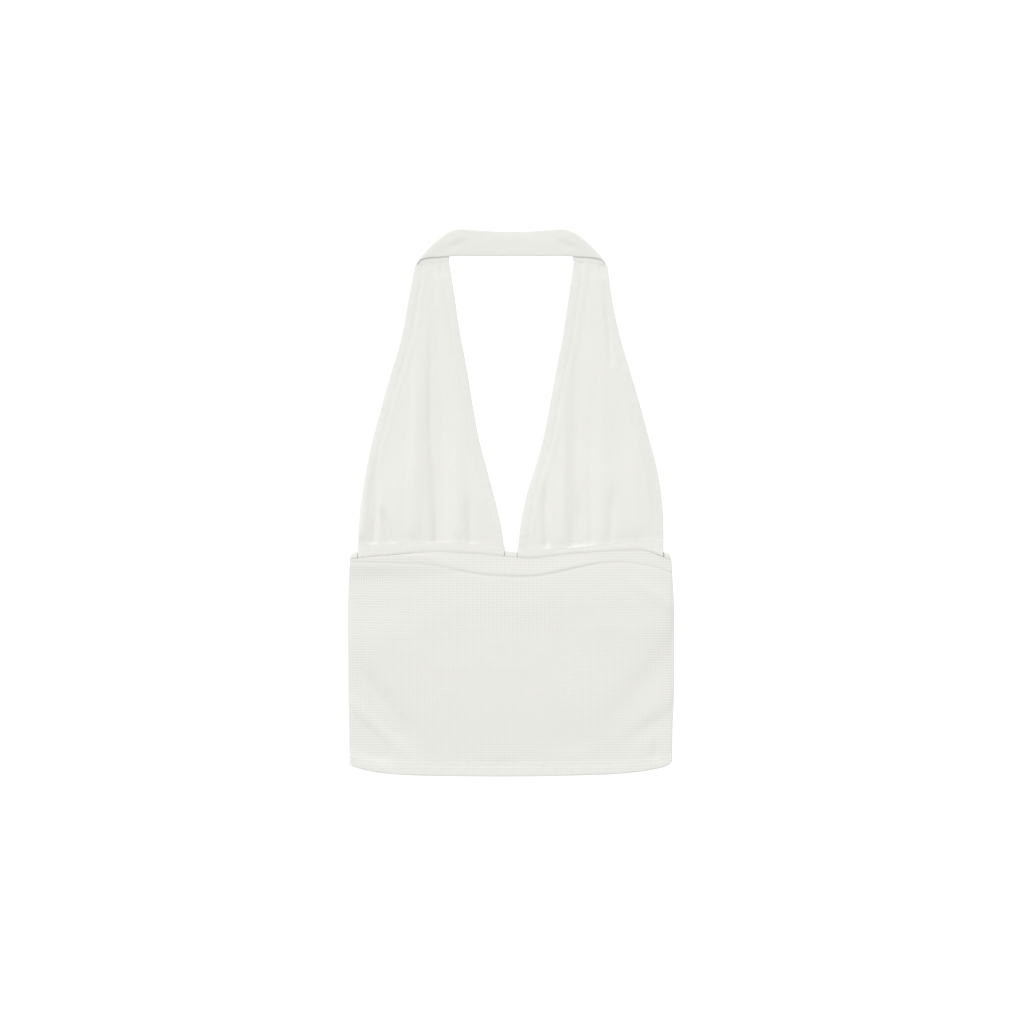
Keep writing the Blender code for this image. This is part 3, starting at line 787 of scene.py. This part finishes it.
def cloth_tone_group():
    """Slow and fast changes of tone, from 0 to 1, as yarns of uneven thickness give."""
    group, given, out = new_group(
        "cloth_tone",
        [("Patch Scale", 28.0), ("Slub Scale", 420.0)],
        [("Tone", "NodeSocketFloat")],
    )
    place = cloth_place(group)
    patches = group.nodes.new("ShaderNodeTexNoise")
    slubs = group.nodes.new("ShaderNodeTexNoise")
    stretch = group.nodes.new("ShaderNodeMapping")
    stretch.inputs["Scale"].default_value = (1.0, 0.12, 1.0)
    plug(group, place, patches.inputs["Vector"])
    plug(group, place, stretch.inputs["Vector"])
    plug(group, stretch.outputs[0], slubs.inputs["Vector"])
    plug(group, given.outputs["Patch Scale"], patches.inputs["Scale"])
    plug(group, given.outputs["Slub Scale"], slubs.inputs["Scale"])
    half = calculate(group, "MULTIPLY", slubs.outputs["Fac"], 0.5)
    tone = calculate(group, "MULTIPLY_ADD", patches.outputs["Fac"], 0.5, half)
    plug(group, tone, out.inputs["Tone"])
    return group


def use_group(tree, group, **values):
    """Places a group in a material, with its own values for the named inputs."""
    node = tree.nodes.new("ShaderNodeGroup")
    node.node_tree = group
    for title, value in values.items():
        node.inputs[title.replace("_", " ")].default_value = value
    return node


def blend_colours(tree, low, high, amount):
    node = tree.nodes.new("ShaderNodeMix")
    node.data_type = "RGBA"
    node.inputs["A"].default_value = (*low, 1.0)
    node.inputs["B"].default_value = (*high, 1.0)
    plug(tree, amount, node.inputs["Factor"])
    return node.outputs["Result"]


def new_cloth(name, roughness, sheen):
    """A matt cloth material with its constant values on the shader's own sockets."""
    material = bpy.data.materials.new(name)
    material.use_nodes = True
    tree = material.node_tree
    shader = tree.nodes["Principled BSDF"]
    shader.inputs["Roughness"].default_value = roughness
    shader.inputs["Specular IOR Level"].default_value = 0.25
    shader.inputs["Sheen Weight"].default_value = sheen
    shader.inputs["Sheen Roughness"].default_value = 0.5
    return material, tree, shader


def raise_surface(tree, shader, height, distance):
    bump = tree.nodes.new("ShaderNodeBump")
    bump.inputs["Distance"].default_value = distance
    bump.inputs["Strength"].default_value = 1.0
    plug(tree, height, bump.inputs["Height"])
    plug(tree, bump.outputs["Normal"], shader.inputs["Normal"])


def woven_cloth(name, weave, tone, thread):
    """The smooth cloth of the cups, the band and the strap."""
    material, tree, shader = new_cloth(name, 0.85, 0.15)
    threads = use_group(tree, weave, Thread=thread)
    shade = use_group(tree, tone, Patch_Scale=30.0, Slub_Scale=500.0)
    colour = blend_colours(tree, CREAM_SHADE, CREAM, shade.outputs["Tone"])
    plug(tree, colour, shader.inputs["Base Color"])
    raise_surface(tree, shader, threads.outputs["Height"], WEAVE_RELIEF)
    return material


def knitted_cloth(name, waffle, tone):
    """The textured cloth of the body. Its colours are darker than the cups' and darker still in the
    knit's hollows: painted shade.
    """
    material, tree, shader = new_cloth(name, 0.9, 0.15)
    knit = use_group(tree, waffle)
    shade = use_group(tree, tone, Patch_Scale=24.0, Slub_Scale=380.0)
    # Painted shade: the colour darkens in the knit's hollows, mixed with random tone.
    hollow = calculate(tree, "MULTIPLY", knit.outputs["Hollow"], 0.75)
    uneven = calculate(tree, "MULTIPLY", shade.outputs["Tone"], 0.35)
    colour = blend_colours(tree, KNIT_CREAM, KNIT_PAINTED_SHADE, calculate(tree, "ADD", hollow, uneven))
    plug(tree, colour, shader.inputs["Base Color"])
    raise_surface(tree, shader, knit.outputs["Height"], KNIT_RELIEF)
    return material


def sewing_thread(name, tone):
    """Twisted thread, a little brighter and smoother than the cloth."""
    material, tree, shader = new_cloth(name, 0.6, 0.05)
    shade = use_group(tree, tone, Patch_Scale=60.0, Slub_Scale=1500.0)
    colour = blend_colours(tree, CREAM, THREAD, shade.outputs["Tone"])
    plug(tree, colour, shader.inputs["Base Color"])
    raise_surface(tree, shader, noise(tree, cloth_place(tree), 4000.0, 1.0), THREAD_RELIEF)
    return material


def pale_floor_material():
    """A bright white sheet that also glows a little, as on a light table."""
    material = bpy.data.materials.new("white_sheet")
    material.use_nodes = True
    tree = material.node_tree
    shader = tree.nodes["Principled BSDF"]
    colour = blend_colours(tree, FLOOR_SHADE, FLOOR_WHITE, noise(tree, cloth_place(tree), 900.0))
    plug(tree, colour, shader.inputs["Base Color"])
    shader.inputs["Roughness"].default_value = 0.9
    shader.inputs["Specular IOR Level"].default_value = 0.0
    shader.inputs["Emission Color"].default_value = (1.0, 1.0, 1.0, 1.0)
    shader.inputs["Emission Strength"].default_value = FLOOR_GLOW
    return material


# The pieces


class Cup:
    """One gathered cup, between its armhole edge and its neckline edge."""

    def __init__(self, name, armhole, neck, folds, puckers, seed):
        self.name = name
        self.armhole, self.neck = cup_edge(armhole), cup_edge(neck)
        self.folds, self.puckers, self.seed = folds, puckers, seed

    def from_side(self, x, y):
        """How far in from the nearer of the armhole and the neckline a point lies."""
        return np.minimum(np.abs(x - self.armhole(y)), np.abs(self.neck(y) - x))

    def off_head(self, y):
        """1 over most of the cup, and 0 on its head, which lies flat where the strap joins it."""
        return 1 - step(*FLAT_HEAD_RAMP, y - CUP_HEAD_OUTER_Y)

    def under(self, x, y):
        """The height of the cup's underside."""
        above_foot = y - cup_foot(x)
        above = y - gather_line(x)
        wrinkles = bumps_at(CUP_FINE_WRINKLES, x - CUP_WRINKLE_LEAN * y, y, self.seed)
        wrinkles += bumps_at(CUP_BROAD_WRINKLES, x, y, self.seed)
        left_edge, right_edge = sorted_edges(self.armhole(y), self.neck(y))
        crown = CUP_CROWN * (1 - np.exp((left_edge - x) / LEFT_SHOULDER))
        crown = crown * (1 - np.exp((x - right_edge) / RIGHT_SHOULDER))
        crown = crown * step(*CROWN_RAMP, above_foot) * (1 - CROWN_FADE * step(*CROWN_FADE_RAMP, y))
        rise = CUP_FOOT_LIFT * (1 - step(BAND_HEIGHT, CUP_RISE_END, above_foot))
        puff = GATHER_PUFF * (1 - step(*GATHER_PUFF_RAMP, above))
        folds = folds_at(self.folds, x, y, PLEAT_PINCH)
        soft = puff + wrinkles + puckers_at(self.puckers, x, above) + np.maximum(folds, 0)
        relief = soft * step(*RELIEF_RAMP, above) + np.minimum(folds, 0) * step(0, GATHER_STEP, above)
        return settled(CUP_REST_LIFT + self.off_head(y) * (crown + rise + relief))

    def top(self, x, y):
        """The height of the cup's outer face, with its turned edges and stitch grooves."""
        side = self.from_side(x, y)
        above = y - gather_line(x)
        turned = TURNED_EXTRA * (1 - step(*TURNED_RAMP, side - TURNED_WIDTH)) * self.off_head(y)
        foot = (CUP_FOOT_WALL - CUP_WALL) * (1 - step(*FOOT_WALL_RAMP, above))
        fall = CUP_FOOT_FALL * (1 - step(0.0, CUP_FOOT_FALL_REACH, y - cup_foot(x)))
        pulled = bumps_at(TURNED_PULL, x, y, self.seed) * (1 - step(*TURNED_PULL_RAMP, side))
        foot_pull = bumps_at(FOOT_PULL, x, y, self.seed) * (1 - step(*FOOT_PULL_RAMP, above))
        sewn = groove(side - TURNED_STITCH_INSET, CUP_GROOVE_WIDTH, TURNED_GROOVE_DEPTH)
        sewn = sewn * step(*TURNED_GROOVE_RAMP, above)
        sewn = sewn + groove(above + GATHER_STITCH_INSET, CUP_GROOVE_WIDTH, GATHER_GROOVE_DEPTH)
        puff = TURNED_PUFF * bell(side - TURNED_WIDTH - TURNED_PUFF_INSET, TURNED_PUFF_WIDTH)
        puff = puff * step(*TURNED_PUFF_RAMP, above)
        wall = CUP_WALL + np.maximum(turned, foot) - fall
        return self.under(x, y) + wall + sewn + puff + pulled + foot_pull

    def grid(self):
        """Rows across the cup from its foot to its head."""
        foot_level = CUP_EDGES[0].y
        middle = 0.5 * (self.armhole(foot_level) + self.neck(foot_level))
        low, high = float(gather_line(middle)), CUP_HEAD_OUTER_Y
        strip = edge_spread(2 * float(low - cup_foot(middle)), CUP_STRIP_SPACING)
        strip = strip[: len(strip) // 2] / (low - float(cup_foot(middle)))
        strip[1] *= FIRST_LINE_SHARE
        rows_x, rows_y = [], []
        width = abs(self.neck(foot_level) - self.armhole(foot_level))
        across = edge_spread(width, CUP_COLUMN_SPACING)
        reach = NEAR_EDGE[-1]
        near = across < reach + 0.1

        def add(level, line):
            left, right = self.armhole(level), self.neck(level)
            span = abs(right - left)
            inner = np.interp(across, [reach, width - reach], [reach, span - reach])
            places = np.where(near, across, np.where(near[::-1], across - width + span, inner))
            shares = places / span
            x = left + shares * (right - left)
            rows_x.append(x)
            rows_y.append(line(x, shares))

        for share in strip:
            add(foot_level, lambda x, _: cup_foot(x) + share * (gather_line(x) - cup_foot(x)))
        foot = [0.0, GATHER_STEP]
        pleats, middle_part = np.arange(1.0, 30, 1.0), np.arange(30, 80, 1.4)
        upper_part = np.arange(80, high - low - 4, 1.9)
        tip = (high - low) - NEAR_HEAD
        for height in np.concatenate([foot, pleats, middle_part, upper_part, tip]):
            share = height / (high - low)
            add(
                low + height,
                lambda x, place: gather_line(x) + share * (cup_head(place) - gather_line(x)),
            )
        return np.array(rows_x), np.array(rows_y)

    def edge_path(self, edge, toward_cup, low, high):
        """Points for the row of stitches along one side of the cup."""
        y = np.linspace(low, high, 160)
        x = edge(y) + toward_cup * TURNED_STITCH_INSET
        return np.stack([x, y, self.top(x, y)], 1)

    def gather_path(self, toward_neck):
        """Points for the row of stitches along the gathers."""
        armhole, neck = float(self.armhole(GATHER_ENDS_Y)), float(self.neck(GATHER_ENDS_Y))
        margin = GATHER_END_MARGIN * toward_neck
        ends = sorted([armhole + margin, neck - margin])
        x = np.linspace(ends[0], ends[1], 200)
        y = gather_line(x) - GATHER_STITCH_INSET
        return np.stack([x, y, self.top(x, y)], 1)

    def build(self, cloth, thread):
        x, y = self.grid()
        upper = self.top(x, y)
        lower = np.maximum(self.under(x, y) - CUP_UNDER_SLACK, 0.0)
        name = self.name + "_cloth"
        shell = laid_cloth(name, x, y, upper, lower, cloth, JOIN_ROUND, JOIN_ROUND)
        toward_neck = 1 if self.neck(0) > self.armhole(0) else -1
        low = TURNED_STITCH_FROM_Y
        paths = {
            "armhole": self.edge_path(self.armhole, toward_neck, low, ARMHOLE_STITCH_TO_Y),
            "neckline": self.edge_path(self.neck, -toward_neck, low, NECKLINE_STITCH_TO_Y),
            "gather": self.gather_path(toward_neck),
        }
        sewing = [
            stitch_row(f"{self.name}_{title}_stitches", path, thread)
            for title, path in paths.items()
        ]
        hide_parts(self.name)
        return shell


def roll_under_band(x, y):
    """The soft roll below the band. It is fullest at its left end and fades out on the right."""
    below = body_seam(x) - y
    depth = body_seam(x) - follow(UNDERBUST, "x", "crease", x)
    inward = step(*ROLL_INWARD_RAMP, x)
    fullness = ROLL_LIFT_AT_END + (ROLL_LIFT_IN_MIDDLE - ROLL_LIFT_AT_END) * inward
    fullness = fullness * (1 - ROLL_RIGHT_FADE * step(*ROLL_RIGHT_RAMP, x))
    rise = step(-ROLL_START_ABOVE * (1 - inward), depth * (0.3 + 0.5 * inward), below)
    fall_end = 1.05 * depth + ROLL_FADE_AT_END * (1 - inward)
    fall = step(depth * (0.35 + 0.51 * inward), fall_end, below)
    return fullness * rise * (1 - fall) - ROLL_NIP * bell(below - ROLL_NIP_PLACE * depth, ROLL_NIP_WIDTH)


def front_under(x, y):
    """The height of the front panel's underside."""
    half = BODY_HALF_WIDTH
    above_hem, below_seam = y - hem_edge(x), body_seam(x) - y
    crown = FRONT_CROWN * np.clip(1 - (x / half) ** 4, 0, 1) * step(*FRONT_CROWN_HEM_RAMP, above_hem)
    crown = crown * step(*FRONT_CROWN_SEAM_RAMP, below_seam)
    near_side = np.clip(1 - (np.abs(x) / half) ** FRONT_EDGE_SHARPNESS, 0, 1)
    wrinkles = bumps_at(BODY_FINE_WRINKLES, x, y) + bumps_at(BODY_BROAD_WRINKLES, x, y)
    inside = step(*WRINKLE_HEM_RAMP, above_hem) * step(0, WRINKLE_SIDE_REACH, half - np.abs(x))
    inside = inside * step(*WRINKLE_SEAM_RAMP, below_seam)
    seam_reach = FRONT_SEAM_REACH + FRONT_LEFT_SEAM_REACH * (1 - step(*ROLL_INWARD_RAMP, x))
    from_seam = step(0, seam_reach, below_seam)
    from_hem = step(0, FRONT_HEM_REACH, above_hem)
    stand_off = FRONT_SEAM_LIFT + (FRONT_STAND_OFF - FRONT_SEAM_LIFT) * from_seam
    stand_off = stand_off * (1 - FRONT_SIDE_FALL * (np.abs(x) / half) ** 6)
    stand_off = FRONT_HEM_LIFT + (stand_off - FRONT_HEM_LIFT) * from_hem
    lift = stand_off * near_side + crown + roll_under_band(x, y)
    lift = lift + HEM_PUFF * (1 - step(0, HEM_DEPTH, above_hem)) * near_side
    lift = lift + folds_at(BODY_FOLDS, x, y) * step(*FOLD_HEM_RAMP, above_hem) + wrinkles * inside
    return BACK_WALL + LAYER_GAP + settled(lift)


def front_top(x, y):
    """The height of the front panel's outer face, with its hem and the hem's stitches."""
    above_fold = y - hem_fold(x)
    hem = HEM_EXTRA * (1 - step(*HEM_WALL_RAMP, above_fold))
    pulled = bumps_at(HEM_PULL, x, y) * (1 - step(0, HEM_PULL_REACH, above_fold))
    sewn = groove(above_fold + HEM_STITCH_INSET, HEM_GROOVE_WIDTH, HEM_GROOVE_DEPTH)
    return front_under(x, y) + BODY_WALL + hem + pulled + sewn


def body_grid(step_x, lines):
    """Points across the body on each line, a function of x that gives y."""
    across = edge_spread(2 * BODY_HALF_WIDTH, step_x) / (2 * BODY_HALF_WIDTH)
    rows_x, rows_y = [], []
    for line in lines:
        level = float(line(np.array(0.0)))
        left = follow(BODY_SIDES, "y", "left", level)
        right = follow(BODY_SIDES, "y", "right", level)
        x = left + across * (right - left)
        rows_x.append(x)
        rows_y.append(line(x))
    return np.array(rows_x), np.array(rows_y)


def between(upper_line, lower_line, share):
    return lambda x: upper_line(x) * (1 - share) + lower_line(x) * share


def hem_stitches(name, height, thread):
    """The row of stitches along the hem, at the height that a function of x and y gives."""
    x = np.linspace(BODY_SIDES[0].left + HEM_STITCH_MARGIN, BODY_SIDES[0].right - HEM_STITCH_MARGIN, 300)
    y = hem_fold(x) - HEM_STITCH_INSET
    return stitch_row(name, np.stack([x, y, height(x, y)], 1), thread)


def build_body_front(cloth, thread):
    def top_line(x):
        return body_seam(x) - SEWN_GAP

    def crease_line(x):
        return follow(UNDERBUST, "x", "crease", x) - CREASE_MARGIN

    roll = np.concatenate([NEAR_EDGE[:-1] / ROLL_LENGTH, np.linspace(0.1, 1, 26)])
    roll[1] *= FIRST_LINE_SHARE
    lines = [between(top_line, crease_line, share) for share in roll]
    lines += [between(crease_line, hem_fold, share) for share in np.linspace(0, 1, 126)[1:]]
    hem = np.concatenate([np.arange(1.0, HEM_DEPTH - 2.5, 1.0), HEM_DEPTH - NEAR_EDGE[::-1]]) / HEM_DEPTH
    lines += [between(hem_fold, hem_edge, share) for share in hem]
    x, y = body_grid(FRONT_SPACING, lines)
    upper, lower = front_top(x, y), front_under(x, y)
    name = "body_front_cloth"
    panel = laid_cloth(name, x, y, upper, lower, cloth, JOIN_ROUND, HEM_ROUND)
    stitches = hem_stitches("body_front_hem_stitches", front_top, thread)
    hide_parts("body_front")
    return panel


def build_body_back(cloth, thread):
    """The back lies flat on the floor under the front."""

    def top_line(x):
        corner = 1 - np.sqrt(1 - (1 - from_body_end(x) / CORNER_ROUND) ** 2)
        return BACK_TOP_Y - CORNER_ROUND * corner

    length = BACK_TOP_Y - float(hem_edge(np.array(0.0)))
    shares = edge_spread(length, BACK_SPACING) / length
    x, y = body_grid(BACK_SPACING, [between(top_line, hem_edge, share) for share in shares])
    upper = np.full_like(x, BACK_WALL)
    above_hem = y - hem_fold(x)
    lower = BACK_LINE_DEPTH * step(-1.0, 1.0, above_hem) * (1 - step(-8, -2, y - top_line(x)))
    lower = lower - groove(above_hem + HEM_STITCH_INSET, HEM_GROOVE_WIDTH, BACK_GROOVE_DEPTH)
    name = "body_back_cloth"
    panel = laid_cloth(name, x, y, upper, lower, cloth, SEAM_ROUND, HEM_ROUND)
    floor_side = lambda x, y: np.full_like(x, BACK_STITCH_HEIGHT)
    stitches = hem_stitches("body_back_hem_stitches", floor_side, thread)
    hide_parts("body_back")
    return panel


def build_underbust_band(cloth):
    """A narrow band, in rings from side to side, that follows the wavy seam."""
    left, right = BODY_SIDES[-1].left, BODY_SIDES[-1].right
    ends = np.array([0.0, 0.15, 0.5, 1.0, 1.8, 2.8, 4.0, 5.5])
    inner = np.linspace(left + 7, right - 7, 260)
    turns = [sign * place for sign in (-1, 1) for place in (*BAND_V_RAMP, *BAND_END_RAMP)]
    stations = np.unique(np.concatenate([left + ends, inner, turns, right - ends]))
    sides = 16
    rings = []
    for x in stations:
        low, high = float(body_seam(x)), float(band_top(x))
        middle, half = (low + high) / 2, (high - low) / 2
        thick = BAND_THICKNESS * min(1.0, 0.55 + 0.45 * half / (BAND_HEIGHT / 2))
        bare = 1 - step(*BAND_V_RAMP, abs(x)) + step(*BAND_END_RAMP, abs(x))
        floor = BACK_WALL + LAYER_GAP + BAND_BARE_LIFT * bare
        ring = []
        for i in range(sides):
            angle = -2 * math.pi * (i + 0.5) / sides
            across = math.copysign(abs(math.cos(angle)) ** BAND_SQUARENESS, math.cos(angle))
            up = math.copysign(abs(math.sin(angle)) ** BAND_SQUARENESS, math.sin(angle))
            ring.append((x, middle + half * across, floor + thick * (1 + up) / 2))
        rings.append(ring)
    band = cloth_through_rings("underbust_band_cloth", rings, cloth)
    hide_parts("underbust_band")
    return band


def strap_ring(inner, outer, height, lip, turn, roll_radius, bow, crown):
    """A cross-section of the strap. turn is 0 where it lies face down and pi where it is face up."""
    up = np.array([0.0, 0.0, 1.0])
    width = np.linalg.norm(outer - inner)
    across = (outer - inner) / width
    outward = np.array([across[1], -across[0], 0.0])
    face = outward * math.sin(turn) - up * math.cos(turn)
    start = inner + up * height + roll_radius * (face + up)
    near, reach = NEAR_STRAP_EDGE / width, STRAP_EDGE_REACH / width
    shares = np.concatenate([near, np.linspace(reach, 1 - reach, 22), 1 - near[::-1]])

    def at(share, side):
        arch = 4 * share * (1 - share)
        from_edge = min(share * width, (1 - share) * width / STRAP_LOWER_ROUND)
        round_off = math.sqrt(1 - (1 - min(1.0, from_edge)) ** 2)
        sag = STRAP_SAG * max(0.0, face[2]) * (1 - step(0, STRAP_SAG_WIDTH, (1 - share) * width))
        place = start + across * width * share + (crown * up + bow * outward) * arch
        place = place + (lip * share**2 - sag) * up + face * side * round_off * STRAP_WALL / 2
        lying = max(0.0, face[2]) * max(0, side)
        dents = folds_at(STRAP_DENTS, place[:1], place[1:2])[0]
        place[2] += lying * round_off * float(dents + bumps_at(STRAP_RIPPLES, place[0], place[1]))
        return tuple(place)

    ring = [at(share, 1) for share in shares]
    ring += [at(share, -1) for share in shares[::-1][1:-1]]
    return ring


def strap_track(stations, count):
    """Evenly spaced stations along a run of the strap, on smooth curves."""
    table = np.array(stations, float)
    known = np.arange(len(table), dtype=float)
    wanted = np.linspace(0, len(table) - 1, count)
    return np.stack([smooth_curve(known, column, wanted) for column in table.T], 1)


def build_neck_strap(cloth):
    """The strap runs face down from one cup, folds over, crosses behind the neck and folds back."""

    def ring(row, turn, roll_radius, bow, crown):
        station = StrapStation(*row)
        inner = np.array([station.inner_x, station.inner_y, 0.0])
        outer = np.array([station.outer_x, station.outer_y, 0.0])
        return strap_ring(inner, outer, station.height, station.lip, turn, roll_radius, bow, crown)

    half = []
    under = strap_track(STRAP_UNDER, STRAP_UNDER_RINGS)
    under = np.insert(under, 1, 0.98 * under[0] + 0.02 * under[1], axis=0)
    for i, row in enumerate(under):
        half.append(ring(row, 0.0, 0.0, STRAP_FOLD_BOW * i / len(under), 0.0))
    for turn in np.linspace(0, math.pi, STRAP_FOLD_RINGS):
        half.append(ring(STRAP_FOLD, turn, STRAP_FOLD_RADIUS, STRAP_FOLD_BOW, 0.0))
    for i, row in enumerate(strap_track(STRAP_OVER, STRAP_OVER_RINGS)):
        bow = STRAP_FOLD_BOW * max(0.0, 1 - (i + 1) / STRAP_BOW_RINGS)
        half.append(ring(row, math.pi, 0.0, bow, STRAP_CROWN * min(1.0, i / STRAP_CROWN_RINGS)))
    mirrored = [[(-x, y, z) for x, y, z in loop] for loop in reversed(half[:-1])]
    strap = cloth_through_rings("neck_strap_cloth", half + mirrored, cloth)
    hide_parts("neck_strap")
    return strap


# The set


def build_floor():
    mesh = bpy.data.meshes.new("white_floor")
    turns = ((-1, -1), (1, -1), (1, 1), (-1, 1))
    corners = [(x * FLOOR_REACH, y * FLOOR_REACH, FLOOR_LEVEL) for x, y in turns]
    mesh.from_pydata(corners, [], [(0, 1, 2, 3)])
    mesh.materials.append(pale_floor_material())
    floor = bpy.data.objects.new("white_floor", mesh)
    bpy.context.scene.collection.objects.link(floor)


def build_lights():
    """A bright even sky, and one very soft light from the upper left."""
    world = bpy.data.worlds.new("studio")
    world.use_nodes = True
    background = world.node_tree.nodes["Background"]
    background.inputs["Color"].default_value = (1.0, 1.0, 1.0, 1.0)
    background.inputs["Strength"].default_value = SKY_STRENGTH
    bpy.context.scene.world = world
    data = bpy.data.lights.new("soft_key", "SUN")
    data.energy = KEY_STRENGTH
    data.angle = math.radians(KEY_SOFTNESS)
    key = bpy.data.objects.new("soft_key", data)
    key.rotation_mode = "QUATERNION"
    key.rotation_quaternion = (-Vector(KEY_FROM)).to_track_quat("-Z", "Y")
    bpy.context.scene.collection.objects.link(key)


def build_camera():
    """Straight down, so that one millimetre on the floor is one pixel of the picture."""
    data = bpy.data.cameras.new("camera")
    data.lens = CAMERA_LENS
    data.sensor_width = CAMERA_SENSOR
    distance = PICTURE_WIDTH * data.lens / data.sensor_width
    camera = bpy.data.objects.new("camera", data)
    camera.location = (PICTURE_CENTRE[0], PICTURE_CENTRE[1], distance)
    camera.rotation_euler = (0.0, 0.0, 0.0)
    data.clip_end = 20.0
    bpy.context.scene.collection.objects.link(camera)
    bpy.context.scene.camera = camera


bpy.context.scene.view_settings.view_transform = "Standard"
build_camera()
build_lights()
build_floor()

weave = fine_weave_group()
waffle = waffle_knit_group()
tone = cloth_tone_group()
cup_cloth = woven_cloth("cup_cloth", weave, tone, CUP_THREAD)
strap_cloth = woven_cloth("strap_cloth", weave, tone, STRAP_THREAD)
body_cloth = knitted_cloth("body_knit", waffle, tone)
thread = sewing_thread("sewing_thread", tone)

build_body_back(body_cloth, thread)
build_body_front(body_cloth, thread)
build_underbust_band(strap_cloth)
for side, folds, puckers, seed in (
    ("left", LEFT_CUP_FOLDS, LEFT_CUP_PUCKERS, LEFT_CUP_SEED),
    ("right", RIGHT_CUP_FOLDS, RIGHT_CUP_PUCKERS, RIGHT_CUP_SEED),
):
    cup = Cup(f"cup_{side}", f"{side}_armhole", f"{side}_neck", folds, puckers, seed)
    cup.build(cup_cloth, thread)
build_neck_strap(strap_cloth)
